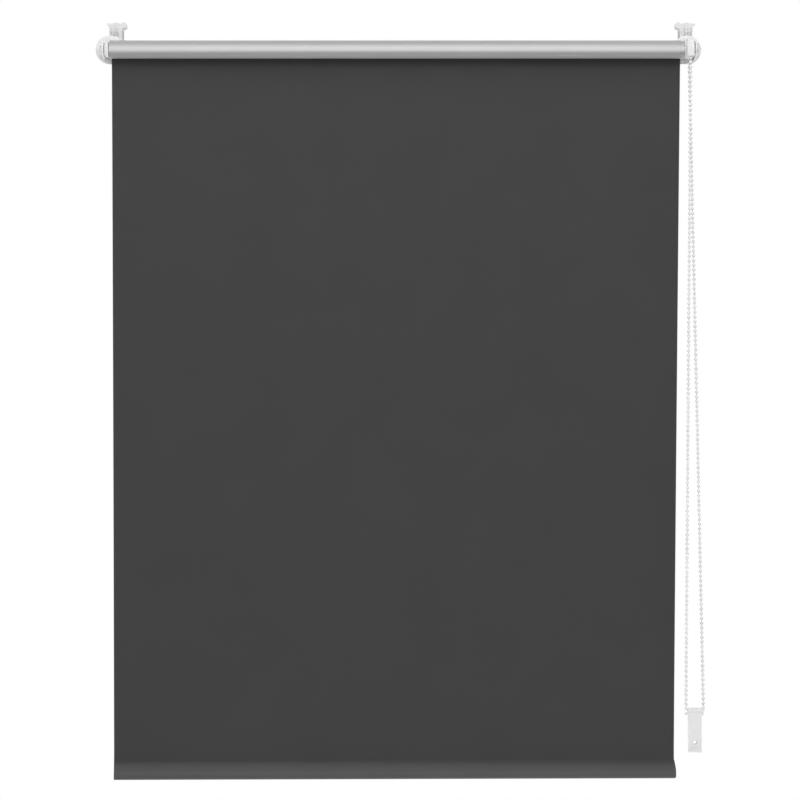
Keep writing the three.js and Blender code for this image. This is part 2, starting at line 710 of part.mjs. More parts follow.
/** Clutch core: a fixed post that the springs grip, with a groove for its clip. */
function clutchCore() {
  const clipAt = coreTip + 2;
  return turnedX(
    [
      [coreTip, 0],
      [coreTip, CORE_RADIUS],
      [clipAt, CORE_RADIUS],
      [clipAt, CORE_RADIUS - 0.9],
      [clipAt + 1.6, CORE_RADIUS - 0.9],
      [clipAt + 1.6, CORE_RADIUS],
      [coreFlangeStart, CORE_RADIUS],
      [coreFlangeStart, CORE_FLANGE_RADIUS],
      [coreEnd, CORE_FLANGE_RADIUS],
      [coreEnd, SCREW_RADIUS + GAP],
      [coreEnd - 16, SCREW_RADIUS + GAP],
      [coreEnd - 17, 0],
    ],
    24,
  );
}

/** Open ring snapped into the core's groove. */
function retainingClip() {
  const ring = new THREE.Shape();
  const [inner, outer] = [CORE_RADIUS - 0.6, CORE_RADIUS + 1.4];
  const gapAngle = 0.35;
  ring.absarc(AXIS_Y, AXIS_Z, outer, gapAngle, 2 * Math.PI - gapAngle);
  ring.absarc(AXIS_Y, AXIS_Z, inner, 2 * Math.PI - gapAngle, gapAngle, true);
  return prismX(ring, coreTip + 2.3, coreTip + 3.3, 10);
}

const wrapSpring = (x0) =>
  coil(x0, x0 + WRAP_LENGTH, CORE_RADIUS + 0.85, WRAP_TURNS, WRAP_WIRE);

/** Chain guard: hood over the wheel with straight skirts, closed on its outer side. */
function chainGuard() {
  const hood = (r) => {
    const shape = new THREE.Shape();
    shape.moveTo(AXIS_Y + r, AXIS_Z - GUARD_SKIRT);
    shape.lineTo(AXIS_Y + r, AXIS_Z);
    shape.absarc(AXIS_Y, AXIS_Z, r, 0, Math.PI);
    shape.lineTo(AXIS_Y - r, AXIS_Z - GUARD_SKIRT);
    return shape;
  };
  const webEnd = webStart + GUARD_WALL;
  const hoodStart = webEnd - GUARD_WIDTH;
  const inside = new THREE.Shape();
  const r = GUARD_RADIUS - GUARD_WALL;
  inside.moveTo(AXIS_Y + r, AXIS_Z - GUARD_SKIRT - 5);
  inside.lineTo(AXIS_Y + r, AXIS_Z);
  inside.absarc(AXIS_Y, AXIS_Z, r, 0, Math.PI);
  inside.lineTo(AXIS_Y - r, AXIS_Z - GUARD_SKIRT - 5);
  return cut(
    prismX(hood(GUARD_RADIUS), hoodStart, webEnd, 14),
    prismX(inside, hoodStart - 1, webStart, 14),
    rodX(webStart - 1, webEnd + 1, CORE_RADIUS + GAP, 24),
  );
}

/** Screw through the drive cheek into the core. */
function coreScrew() {
  const face = driveCheekX + CHEEK_THICKNESS + GAP;
  return turnedX(
    [
      [coreEnd - 15, 0],
      [coreEnd - 14, SCREW_RADIUS],
      [face, SCREW_RADIUS],
      [face, 3.6],
      [face + 1, 3.5],
      [face + 1.9, 2.2],
      [face + 2.1, 0],
    ],
    24,
  );
}

// ------------------------------------------------------------- sheet and hem

/** Hanging sheet, tapered to the hem, starting just clear of the wound turn. */
function fabricSheet() {
  const front = rollOuter - FABRIC_THICKNESS;
  const top = AXIS_Z - Math.sqrt((rollOuter + GAP) ** 2 - front ** 2);
  const shape = new THREE.Shape();
  shape.moveTo(hemStart, hemTop + GAP);
  shape.lineTo(hemEnd, hemTop + GAP);
  shape.lineTo(fabricEnd, top);
  shape.lineTo(fabricStart, top);
  return prismY(shape, sheetBack - FABRIC_THICKNESS, sheetBack);
}

/** Teardrop outline of the hem pocket, drawn in from the outside by inset. */
function hemOutline(inset) {
  const half = HEM_THICKNESS / 2 - inset;
  const tip = FABRIC_THICKNESS + 0.05 - inset;
  const [y, z] = [sheetMiddle, hemBottom + inset];
  const top = tip > 0 ? hemTop : hemTop - 6;
  const tipHalf = Math.max(tip, 0.15);
  const shape = new THREE.Shape();
  shape.moveTo(y + tipHalf, top);
  shape.quadraticCurveTo(y + tipHalf, top - 5, y + half * 0.8, z + HEM_HEIGHT * 0.5);
  shape.quadraticCurveTo(y + half, z + HEM_HEIGHT * 0.36, y + half, z + half);
  shape.absarc(y, z + half, half, 0, -Math.PI, true);
  shape.quadraticCurveTo(
    y - half,
    z + HEM_HEIGHT * 0.36,
    y - half * 0.8,
    z + HEM_HEIGHT * 0.5,
  );
  shape.quadraticCurveTo(y - tipHalf, top - 5, y - tipHalf, top);
  return shape;
}

/** Hem pocket: one loop of the same fabric, open at both ends. */
const hemSleeve = () =>
  cut(
    prismX(hemOutline(0), hemStart, hemEnd, 6),
    prismX(hemOutline(FABRIC_THICKNESS), hemStart - 1, hemEnd + 1, 6),
  );

const barBottom = hemBottom + FABRIC_THICKNESS + GAP;
const barOutline = () =>
  roundedRectangle(
    sheetMiddle,
    barBottom + BAR_HEIGHT / 2,
    BAR_THICKNESS,
    BAR_HEIGHT,
    BAR_THICKNESS / 2 - 0.05,
  );
const barInset = BAR_CAP_THICKNESS + 2 * GAP;
const bottomBar = () => prismX(barOutline(), hemStart + barInset, hemEnd - barInset, 3);
const barCap = (x0) => prismX(barOutline(), x0, x0 + BAR_CAP_THICKNESS, 3);

// ------------------------------------------------------------- chain and its tag

const chainTube = (points, steps) => {
  const route = points.map((point) => new THREE.Vector3(...point));
  return wire(new THREE.CatmullRomCurve3(route, false, "centripetal"), BEAD_RADIUS, 8, steps);
};

const tagMiddle = AXIS_Y;
const channelHalf = BEAD_RADIUS + 0.4;
const tagFrontFace = tagMiddle - channelHalf - TAG_WALL;
const tagBackFace = tagMiddle + channelHalf + TAG_WALL;
const tagBottom = TAG_TOP - TAG_HEIGHT;
const tagHoleZ = TAG_TOP - TAG_HOLE_FROM_TOP;

/** Front shell of the tag: face, cap bar, wings, side walls and inner bosses. */
function tagFront() {
  const half = TAG_WIDTH / 2;
  const [x0, x1] = [TAG_X - half, TAG_X + half];
  const inner = tagFrontFace + TAG_WALL;
  const seam = tagBackFace - TAG_WALL - GAP;
  const pocketTop = TAG_TOP - 14;
  const body = join(
    prismY(
      roundedRectangle(TAG_X, TAG_TOP - TAG_HEIGHT / 2, TAG_WIDTH, TAG_HEIGHT, 0.8),
      tagFrontFace,
      inner,
      3,
    ),
    block(x0 + 1.3, x1 + 3.3, tagFrontFace - 0.6, inner, TAG_TOP - 4.6, TAG_TOP),
    block(x0 - 4.6, x1 + 3, tagFrontFace - 0.2, inner, TAG_TOP - 8.5, TAG_TOP - 6.3),
    block(x0, x0 + TAG_WALL, inner - 0.5, seam, tagBottom + 0.8, pocketTop),
    block(x1 - TAG_WALL, x1, inner - 0.5, seam, tagBottom + 0.8, pocketTop),
    block(x0 + 0.8, x1 - 0.8, inner - 0.5, seam, tagBottom, tagBottom + TAG_WALL),
    block(x0, x1, inner - 0.5, seam, pocketTop - TAG_WALL, pocketTop),
    prismY(roundedRectangle(TAG_X, TAG_TOP - 3, 12, 5.4, 2), inner - 0.5, seam, 4),
    rodY(inner - 0.5, seam, TAG_HOLE_RADIUS + 1.6, TAG_X, tagHoleZ),
    ...[0, 2.2, 4.4, 6.6].map((step) =>
      block(
        x0 + 0.9,
        x1 - 0.9,
        tagFrontFace - 0.35,
        tagFrontFace + 0.4,
        tagBottom + 1.2 + step,
        tagBottom + 2.2 + step,
      ),
    ),
  );
  return cut(body, rodY(tagFrontFace - 1, seam + 1, TAG_HOLE_RADIUS, TAG_X, tagHoleZ, 28));
}

/** Back plate of the tag, which closes the channel behind the chain. */
function tagBack() {
  const half = TAG_WIDTH / 2;
  const [x0, x1] = [TAG_X - half, TAG_X + half];
  const inner = tagBackFace - TAG_WALL;
  const body = join(
    prismY(
      roundedRectangle(TAG_X, TAG_TOP - TAG_HEIGHT / 2, TAG_WIDTH, TAG_HEIGHT, 0.8),
      inner,
      tagBackFace,
      3,
    ),
    block(x0 - 4.6, x1 + 3, inner, tagBackFace, TAG_TOP - 8.5, TAG_TOP - 6.3),
  );
  return cut(body, rodY(inner - 1, tagBackFace + 1, TAG_HOLE_RADIUS, TAG_X, tagHoleZ, 28));
}

// ------------------------------------------------------------------- assembly
const blind = new THREE.Group();

function add(parent, name, geometry, material) {
  const mesh = new THREE.Mesh(closed(geometry), material);
  mesh.name = name;
  parent.add(mesh);
  return mesh;
}

/** One clamp with its bracket; inward is +1 at the idle end and -1 at the chain end. */
function addClamp(side, x, inward, bracketGeometry) {
  const clamp = new THREE.Group();
  clamp.position.set(x, 0, 0);
  blind.add(clamp);
  const piece = (name, geometry, material) =>
    add(clamp, `${side}_${name}`, closed(geometry).scale(inward, 1, 1), material);
  piece("clamp_body", clampBody(), whitePlastic);
  piece("clamp_jaw", clampJaw(), whitePlastic);
  piece("clamp_screw", clampScrew(), whitePlastic);
  piece("leg_foam", foamPad(GAP), foam);
  piece("jaw_foam", foamPad(JAW_FRONT - GAP - FOAM_THICKNESS), foam);
  piece("bracket", bracketGeometry, whitePlastic);
  piece("bracket_screw", bracketScrew(), steel);
}

const pinHole = PIN_RADIUS + GAP;
const screwHole = SCREW_RADIUS + GAP;
const idleBracket = bracket(IDLE_DISC_OUT, IDLE_CHEEK_OUT, IDLE_CHEEK_HALF, pinHole);
const driveBracket = bracket(DRIVE_DISC_OUT, DRIVE_CHEEK_OUT, DRIVE_CHEEK_HALF, screwHole);
addClamp("left", idleLegX, 1, idleBracket);
addClamp("right", driveLegX, -1, driveBracket);

add(blind, "roller_tube", rollerTube(), silverTube);
add(blind, "fabric_roll", fabricRoll(), silverTube);
add(blind, "idle_plug", idlePlug(), whitePlastic);
add(blind, "idle_pin", idlePin(), whitePlastic);
add(blind, "idle_spring", idleSpring(), steel);
add(blind, "drive_adapter", driveAdapter(), whitePlastic);
add(blind, "chain_wheel", chainWheel(), whitePlastic);

add(blind, "clutch_core", clutchCore(), whitePlastic);
add(blind, "clutch_clip", retainingClip(), steel);
add(blind, "wrap_spring_inner", wrapSpring(wheelStart - 19.5), steel);
add(blind, "wrap_spring_outer", wrapSpring(wheelStart - 9.2), steel);
add(blind, "chain_guard", chainGuard(), whitePlastic);
add(blind, "core_screw", coreScrew(), steel);

add(blind, "fabric_sheet", fabricSheet(), fabric);
add(blind, "hem_sleeve", hemSleeve(), fabric);
add(blind, "bottom_bar", bottomBar(), aluminium);
add(blind, "left_bar_cap", barCap(hemStart + GAP), greyPlastic);
add(blind, "right_bar_cap", barCap(hemEnd - GAP - BAR_CAP_THICKNESS), greyPlastic);

add(blind, "chain_over_wheel", chainTube(CHAIN_OVER_WHEEL, 14), whitePlastic);
add(blind, "chain_front_run", chainTube(CHAIN_FRONT_RUN, 20), whitePlastic);
add(blind, "chain_in_tag", chainTube(CHAIN_IN_TAG, 14), whitePlastic);
add(blind, "chain_back_run", chainTube(CHAIN_BACK_RUN, 20), whitePlastic);
add(blind, "tag_front", tagFront(), whitePlastic);
add(blind, "tag_back", tagBack(), whitePlastic);

export default blind;
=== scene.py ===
import math

import bpy
import numpy as np
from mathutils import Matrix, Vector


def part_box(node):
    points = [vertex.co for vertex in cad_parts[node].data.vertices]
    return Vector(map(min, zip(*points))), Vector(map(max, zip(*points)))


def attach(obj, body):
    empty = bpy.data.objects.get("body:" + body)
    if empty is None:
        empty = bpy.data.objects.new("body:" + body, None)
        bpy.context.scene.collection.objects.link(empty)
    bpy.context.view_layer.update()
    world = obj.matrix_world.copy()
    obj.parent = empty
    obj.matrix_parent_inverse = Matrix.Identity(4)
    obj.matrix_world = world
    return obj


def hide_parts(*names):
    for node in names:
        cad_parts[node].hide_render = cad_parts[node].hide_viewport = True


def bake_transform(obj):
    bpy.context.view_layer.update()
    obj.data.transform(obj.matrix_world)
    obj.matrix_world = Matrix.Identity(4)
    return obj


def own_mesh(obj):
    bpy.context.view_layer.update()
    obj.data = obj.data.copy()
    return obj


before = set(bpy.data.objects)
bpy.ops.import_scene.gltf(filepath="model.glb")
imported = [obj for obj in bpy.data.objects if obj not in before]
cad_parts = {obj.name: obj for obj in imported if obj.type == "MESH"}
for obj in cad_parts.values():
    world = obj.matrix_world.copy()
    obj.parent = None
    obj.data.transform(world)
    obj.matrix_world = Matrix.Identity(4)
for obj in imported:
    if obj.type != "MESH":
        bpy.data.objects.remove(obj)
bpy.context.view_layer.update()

# ---------------------------------------------------------------- camera
# A long lens level with the middle of the blind and square to it, so that the sheet's
# sides stay upright and both ends of the tube are seen alike.
CAMERA_DISTANCE = 3.6
VIEW_WIDTH = 1.0186
SENSOR_WIDTH = 36.0
CAMERA_X = -0.0012
CAMERA_Z = -0.4743
wheel_low, wheel_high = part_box("chain_wheel")
axis_y = (wheel_low.y + wheel_high.y) / 2
axis_z = (wheel_low.z + wheel_high.z) / 2
lens = bpy.data.cameras.new("studio_camera")
lens.sensor_width = SENSOR_WIDTH
lens.lens = SENSOR_WIDTH * CAMERA_DISTANCE / VIEW_WIDTH
lens.clip_end = 60
camera = bpy.data.objects.new("studio_camera", lens)
camera.location = (CAMERA_X, axis_y - CAMERA_DISTANCE, CAMERA_Z)
camera.rotation_euler = (math.pi / 2, 0, 0)
bpy.context.scene.collection.objects.link(camera)
bpy.context.scene.camera = camera

# ---------------------------------------------------------------- bead chain
# Endless white plastic chain, moulded in one piece: 4.5 mm beads on a thin cord,
# 6 mm apart. It hangs over the wheel and turns back inside the tag.
BEAD_RADIUS = 0.00225
LINK_RADIUS = 0.0006
BEAD_PITCH = 0.006
BEAD_RINGS = (-0.00216, -0.0017, -0.0009, 0, 0.0009, 0.0017, 0.00216)
CHAIN_SIDES = 8
SPAN_POINTS = 60             # points on the line between two chosen ones
TWIST_START = -0.05          # height where the chain starts its slow quarter twist
TWIST_DROP = 0.8
HALF_STEP = 0.001            # the chain's direction is taken this far to each side
OVER_WHEEL = [
    (0.368, -0.014, -0.038),
    (0.368, -0.014, -0.033),
    (0.368, -0.014, -0.0281),
    (0.368, -0.0148, -0.02408),
    (0.368, -0.01708, -0.02068),
    (0.368, -0.02048, -0.0184),
    (0.368, -0.0245, -0.0176),
    (0.368, -0.02852, -0.0184),
    (0.368, -0.03192, -0.02068),
    (0.368, -0.0342, -0.02408),
    (0.368, -0.035, -0.0281),
    (0.368, -0.035, -0.033),
    (0.368, -0.035, -0.038),
]
FRONT_RUN = [
    (0.3667, -0.0324, -0.244),
    (0.3654, -0.0298, -0.45),
    (0.3641, -0.0271, -0.656),
]
IN_TAG = [
    (0.3628, -0.0245, -0.862),
    (0.3628, -0.0245, -0.866),
    (0.3635, -0.0245, -0.8694),
    (0.3654, -0.0245, -0.8724),
    (0.3684, -0.0245, -0.8743),
    (0.3719, -0.0245, -0.875),
    (0.3761, -0.0245, -0.875),
    (0.3795, -0.0245, -0.8743),
    (0.3825, -0.0245, -0.8724),
    (0.3844, -0.0245, -0.8694),
    (0.3851, -0.0245, -0.866),
    (0.3851, -0.0245, -0.862),
]
BACK_RUN = [
    (0.3808, -0.0219, -0.656),
    (0.3766, -0.0192, -0.45),
    (0.3723, -0.0166, -0.244),
]


def smoothstep(t):
    """0 below 0, 1 above 1, and t squared times (3 - 2t) between."""
    t = np.clip(t, 0, 1)
    return t * t * (3 - 2 * t)


def closed_spline(points, per_span):
    """Centripetal Catmull-Rom loop: each span is the blend of its four points, with
    knots spaced by the square root of the distance between them."""
    p1 = np.array(points)
    p0, p2, p3 = np.roll(p1, 1, 0), np.roll(p1, -1, 0), np.roll(p1, -2, 0)
    step = lambda a, b: np.sqrt(np.linalg.norm(b - a, axis=1))
    t1 = step(p0, p1)
    t2 = t1 + step(p1, p2)
    t3 = t2 + step(p2, p3)
    u = np.linspace(0, 1, per_span, endpoint=False)
    t = t1[:, None] + (t2 - t1)[:, None] * u

    def mix(a, b, ta, tb):
        """Point between a and b, by how far the knot lies from ta to tb."""
        share = ((t - ta) / (tb - ta))[..., None]
        return a * (1 - share) + b * share

    col = lambda x: x[:, None]
    q0, q1, q2, q3 = (p[:, None, :] for p in (p0, p1, p2, p3))
    zero = np.zeros_like(t1)
    a1 = mix(q0, q1, col(zero), col(t1))
    a2 = mix(q1, q2, col(t1), col(t2))
    a3 = mix(q2, q3, col(t2), col(t3))
    b1 = mix(a1, a2, col(zero), col(t2))
    b2 = mix(a2, a3, col(t1), col(t3))
    return mix(b1, b2, col(t1), col(t2)).reshape(-1, 3)


def skin(name, rings, material, uv=None, ring_loop=False, ends="ngon", smooth=True):
    """Closed surface through rings of points, each ring a loop: quads join point i of
    ring j to its neighbours, and each end ring is filled with one face, or its two
    halves are zipped together where the ring is a flat loop."""
    count, around, _ = rings.shape
    j = np.arange(count if ring_loop else count - 1)
    i = np.arange(around)
    jj, ii = np.meshgrid(j, i, indexing="ij")
    nj, ni = (jj + 1) % count, (ii + 1) % around
    quads = np.stack(
        [jj * around + ii, jj * around + ni, nj * around + ni, nj * around + ii], -1
    )
    faces = quads.reshape(-1, 4).tolist()
    if not ring_loop and ends == "ngon":
        faces.append(list(range(around))[::-1])
        faces.append(list(range((count - 1) * around, count * around)))
    if not ring_loop and ends == "zip":
        half = around // 2
        low = np.arange(half - 1)
        first = np.stack([low + 1, low, around - 1 - low, around - 2 - low], -1)
        faces += first.tolist()
        faces += (first[:, ::-1] + (count - 1) * around).tolist()
    mesh = bpy.data.meshes.new(name)
    mesh.from_pydata(rings.reshape(-1, 3).tolist(), [], faces)
    if uv is not None:
        corner = np.empty(len(mesh.loops), np.int32)
        mesh.loops.foreach_get("vertex_index", corner)
        layer = mesh.uv_layers.new(name="cloth")
        layer.data.foreach_set("uv", uv.reshape(-1, 2)[corner].astype(np.float32).ravel())
    mesh.polygons.foreach_set("use_smooth", np.full(len(mesh.polygons), smooth))
    mesh.materials.append(material)
    piece = bpy.data.objects.new(name, mesh)
    bpy.context.scene.collection.objects.link(piece)
    face_out(mesh)
    return piece


def face_out(mesh):
    """Turns every face round if the mesh's signed volume is negative."""
    mesh.calc_loop_triangles()
    tri = np.empty(len(mesh.loop_triangles) * 3, np.int32)
    mesh.loop_triangles.foreach_get("vertices", tri)
    co = np.empty(len(mesh.vertices) * 3)
    mesh.vertices.foreach_get("co", co)
    a, b, c = co.reshape(-1, 3)[tri.reshape(-1, 3)].transpose(1, 0, 2)
    if np.einsum("ij,ij->i", a, np.cross(b, c)).sum() < 0:
        mesh.flip_normals()
    mesh.update()


def material_nodes(name, color, roughness, metallic=0.0):
    """A principled material and the handles that its pattern is built on."""
    material = bpy.data.materials.new(name)
    material.use_nodes = True
    tree = material.node_tree
    shader = tree.nodes["Principled BSDF"]
    shader.inputs["Base Color"].default_value = (*color, 1)
    shader.inputs["Roughness"].default_value = roughness
    shader.inputs["Metallic"].default_value = metallic
    return material, tree, shader


def node(tree, kind, links=(), **values):
    """Adds a node, sets its named values and joins (socket name, output) pairs."""
    made = tree.nodes.new(kind)
    for key, value in values.items():
        if key in made.inputs:
            made.inputs[key].default_value = value
        else:
            setattr(made, key, value)
    for socket, output in links:
        tree.links.new(output, made.inputs[socket])
    return made


PLASTIC_CLOUDS = 90.0        # cloudy patches per metre
PLASTIC_PEEL = 1400.0        # orange-peel dimples per metre
PEEL_STRENGTH = 0.35
DULLER, SHINIER = 0.07, 0.05
LIGHT_REACH = (0.003, 0.003, 0.0028)


def moulded_plastic(name, color, roughness, mottle=0.06, grain=0.00004, translucent=0.0):
    """Injection-moulded plastic: faint cloudy colour, fine orange-peel skin, and a
    roughness that drifts a little over the surface."""
    material, tree, shader = material_nodes(name, color, roughness)
    place = node(tree, "ShaderNodeTexCoord").outputs["Object"]
    cloud = node(
        tree, "ShaderNodeTexNoise", [("Vector", place)], Scale=PLASTIC_CLOUDS, Detail=3.0
    )
    dark = tuple(c * (1 - mottle) for c in color)
    ramp = node(tree, "ShaderNodeValToRGB", [("Fac", cloud.outputs["Fac"])])
    ramp.color_ramp.elements[0].position = 0.35
    ramp.color_ramp.elements[0].color = (*dark, 1)
    ramp.color_ramp.elements[1].position = 0.65
    ramp.color_ramp.elements[1].color = (*color, 1)
    tree.links.new(ramp.outputs["Color"], shader.inputs["Base Color"])
    worn = node(tree, "ShaderNodeMapRange", [("Value", cloud.outputs["Fac"])])
    worn.inputs["To Min"].default_value = roughness - SHINIER
    worn.inputs["To Max"].default_value = roughness + DULLER
    tree.links.new(worn.outputs["Result"], shader.inputs["Roughness"])
    peel = node(
        tree, "ShaderNodeTexNoise", [("Vector", place)], Scale=PLASTIC_PEEL, Detail=2.0
    )
    bump = node(tree, "ShaderNodeBump", [("Height", peel.outputs["Fac"])])
    bump.inputs["Strength"].default_value = PEEL_STRENGTH
    bump.inputs["Distance"].default_value = grain
    tree.links.new(bump.outputs["Normal"], shader.inputs["Normal"])
    if translucent:
        shader.inputs["Subsurface Weight"].default_value = translucent
        shader.inputs["Subsurface Radius"].default_value = LIGHT_REACH
        shader.inputs["Subsurface Scale"].default_value = 1.0
    return material


loop_line = closed_spline(OVER_WHEEL + FRONT_RUN + IN_TAG + BACK_RUN, SPAN_POINTS)
along = np.linalg.norm(np.roll(loop_line, -1, 0) - loop_line, axis=1)
chain_length = float(along.sum())
station = np.concatenate([[0], np.cumsum(along)])
bead_count = round(chain_length / BEAD_PITCH)
pitch = chain_length / bead_count


def on_chain(s):
    """Point on the loop at distance s along it, wrapping round at its length."""
    wrapped = np.mod(s, chain_length)
    whole = np.vstack([loop_line, loop_line[:1]])
    return np.stack([np.interp(wrapped, station, whole[:, k]) for k in range(3)], -1)


# Rings of one bead: the middle of the link before it, then those round the ball.
ring_at = np.array([-0.5 * pitch, *BEAD_RINGS])
ring_radius = np.sqrt(np.maximum(BEAD_RADIUS**2 - ring_at**2, LINK_RADIUS**2))
ring_s = (np.arange(bead_count)[:, None] * pitch + ring_at).ravel()
centre = on_chain(ring_s)
forward = on_chain(ring_s + HALF_STEP) - on_chain(ring_s - HALF_STEP)
forward /= np.linalg.norm(forward, axis=1, keepdims=True)
turn = 0.5 * np.pi * smoothstep((TWIST_START - centre[:, 2]) / TWIST_DROP)
side = np.stack([np.cos(turn), np.sin(turn), 0 * turn], -1)
side -= (side * forward).sum(1, keepdims=True) * forward
side /= np.linalg.norm(side, axis=1, keepdims=True)
across = np.cross(forward, side)
angle = np.linspace(0, 2 * np.pi, CHAIN_SIDES, endpoint=False)[None, :, None]
spread = np.cos(angle) * side[:, None] + np.sin(angle) * across[:, None]
chain_rings = centre[:, None] + np.tile(ring_radius, bead_count)[:, None, None] * spread
chain_plastic = moulded_plastic("chain_plastic", (0.74, 0.74, 0.735), 0.6, translucent=0.5)
bead_chain = skin("bead_chain", chain_rings, chain_plastic, ring_loop=True)
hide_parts("chain_over_wheel", "chain_front_run", "chain_in_tag", "chain_back_run")
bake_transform(bead_chain)

# ---------------------------------------------------------------- studio
# Plain pale floor well below the blind, bright even surroundings, soft lights high in
# front and above, weak ones at each side, and a strip that lifts the undersides.
FLOOR_Z = -2.2
FLOOR_RADIUS = 4.0
FLOOR_DEPTH = 0.02
FLOOR_GRAINS = 60.0          # grains of the floor's rough skin per metre
FLOOR_BUMP = 0.0005
floor_angle = np.linspace(0, 2 * np.pi, 96, endpoint=False)
floor_rings = np.stack(
    [
        np.stack([r * np.cos(floor_angle), r * np.sin(floor_angle), 0 * floor_angle + z], -1)
        for r, z in ((FLOOR_RADIUS, FLOOR_Z - FLOOR_DEPTH), (FLOOR_RADIUS, FLOOR_Z))
    ]
)
floor_paint, floor_tree, floor_shader = material_nodes("floor_paint", (0.9, 0.9, 0.89), 0.8)
floor_place = node(floor_tree, "ShaderNodeTexCoord").outputs["Object"]
floor_grain = node(
    floor_tree, "ShaderNodeTexNoise", [("Vector", floor_place)], Scale=FLOOR_GRAINS
)
floor_bump = node(floor_tree, "ShaderNodeBump", [("Height", floor_grain.outputs["Fac"])])
floor_bump.inputs["Distance"].default_value = FLOOR_BUMP
floor_tree.links.new(floor_bump.outputs["Normal"], floor_shader.inputs["Normal"])
studio_floor = skin("studio_floor", floor_rings, floor_paint, smooth=False)
studio_floor.visible_glossy = False

world = bpy.data.worlds.new("studio")
bpy.context.scene.world = world
world.use_nodes = True
sky = world.node_tree
direction = node(sky, "ShaderNodeTexCoord").outputs["Generated"]
height = node(sky, "ShaderNodeSeparateXYZ", [("Vector", direction)]).outputs["Z"]
climb = node(sky, "ShaderNodeMapRange", [("Value", height)])
climb.inputs["From Min"].default_value = -1.0
# Brightness by height of the direction looked in: 0 straight down, 1 straight up. The
# first is what lights the blind, the second what shows in its shiny faces.
ROOM_GLOW = (
    (0.0, 0.3), (0.1, 0.22), (0.3, 0.28), (0.5, 0.62), (0.67, 0.87), (0.85, 0.56), (1.0, 0.46),
)
MIRRORED_GLOW = (
    (0.0, 0.25), (0.05, 0.04), (0.117, 0.0), (0.206, 0.2), (0.31, 0.68), (0.413, 0.88),
    (0.51, 0.9), (0.61, 0.97), (0.72, 0.76), (0.815, 0.54), (0.894, 0.36), (0.957, 0.28),
    (1.0, 0.16),
)
MIRRORED_POWER = 1.25


def glow(levels, strength):
    """Background light whose brightness runs straight between the listed heights."""
    ramp = node(sky, "ShaderNodeValToRGB", [("Fac", climb.outputs["Result"])])
    steps = ramp.color_ramp.elements
    for spot, _ in levels[1:-1]:
        steps.new(spot)
    for step, (_, light) in zip(steps, levels):
        step.color = (light, light, light, 1)
    return node(
        sky, "ShaderNodeBackground", [("Color", ramp.outputs["Color"])], Strength=strength
    )


backdrop = node(sky, "ShaderNodeBackground", Color=(1, 1, 1, 1), Strength=1.0)
ray = node(sky, "ShaderNodeLightPath").outputs
lit = node(sky, "ShaderNodeMixShader", [("Fac", ray["Is Glossy Ray"])])
sky.links.new(glow(ROOM_GLOW, 1.0).outputs[0], lit.inputs[1])
sky.links.new(glow(MIRRORED_GLOW, MIRRORED_POWER).outputs[0], lit.inputs[2])
pick = node(sky, "ShaderNodeMixShader", [("Fac", ray["Is Camera Ray"])])
sky.links.new(lit.outputs[0], pick.inputs[1])
sky.links.new(backdrop.outputs[0], pick.inputs[2])
sky.links.new(pick.outputs[0], sky.nodes["World Output"].inputs["Surface"])
bpy.context.scene.view_settings.view_transform = "Standard"


def softbox(name, place, target, width, height, power):
    """Rectangular area light at a place, facing a target, that gloss does not show."""
    light = bpy.data.lights.new(name, "AREA")
    light.shape = "RECTANGLE"
    light.size, light.size_y, light.energy = width, height, power
    lamp = bpy.data.objects.new(name, light)
    lamp.location = place
    away = np.array(place) - np.array(target)
    flat = math.hypot(away[0], away[1])
    lamp.rotation_euler = (math.atan2(flat, away[2]), 0, math.atan2(away[0], -away[1]))
    lamp.visible_camera = False
    lamp.visible_glossy = False
    bpy.context.scene.collection.objects.link(lamp)


softbox("front_softbox", (0, -2.0, 1.2), (0, 0, -0.2), 3.0, 0.9, 28)
softbox("top_softbox", (0, -0.9, 1.5), (0, 0, -0.3), 2.6, 0.8, 11)
softbox("floor_bounce", (0, -0.06, -2.15), (0, -0.04, 0), 2.4, 0.2, 36)
softbox("left_softbox", (-2.6, -1.2, 0.2), (0, 0, -0.4), 1.0, 1.6, 2.5)
softbox("right_softbox", (2.6, -1.2, 0.2), (0, 0, -0.4), 1.0, 1.6, 2.5)

# ---------------------------------------------------------------- chain tag
# Two-part white shell that the loop turns in. The front and back halves are moulded
# separately and clipped; every outside edge is slightly rounded by the tool.
SMOOTH_BELOW = math.radians(32)
ROUND_ABOVE = math.radians(34)
FLAT_WITHIN = math.radians(1.5)
WELD_GAP = 1e-6
tag_plastic = moulded_plastic("tag_plastic", (0.8, 0.8, 0.8), 0.45, mottle=0.03)


def smooth_by_angle(name, limit):
    """Node group that shades a mesh smooth and keeps edges sharp above an angle."""
    group = bpy.data.node_groups.new(name, "GeometryNodeTree")
    group.interface.new_socket("Geometry", in_out="INPUT", socket_type="NodeSocketGeometry")
    group.interface.new_socket("Geometry", in_out="OUTPUT", socket_type="NodeSocketGeometry")
    start = group.nodes.new("NodeGroupInput")
    end = group.nodes.new("NodeGroupOutput")
    angle = group.nodes.new("GeometryNodeInputMeshEdgeAngle")
    over = group.nodes.new("FunctionNodeCompare")
    over.data_type, over.operation = "FLOAT", "GREATER_THAN"
    over.inputs[1].default_value = limit
    faces = group.nodes.new("GeometryNodeSetShadeSmooth")
    edges = group.nodes.new("GeometryNodeSetShadeSmooth")
    edges.domain = "EDGE"
    edges.inputs["Shade Smooth"].default_value = False
    group.links.new(start.outputs[0], faces.inputs["Geometry"])
    group.links.new(faces.outputs["Geometry"], edges.inputs["Geometry"])
    group.links.new(angle.outputs["Unsigned Angle"], over.inputs[0])
    group.links.new(over.outputs["Result"], edges.inputs["Selection"])
    group.links.new(edges.outputs["Geometry"], end.inputs[0])
    return group


shade_by_angle = smooth_by_angle("shade_by_angle", SMOOTH_BELOW)


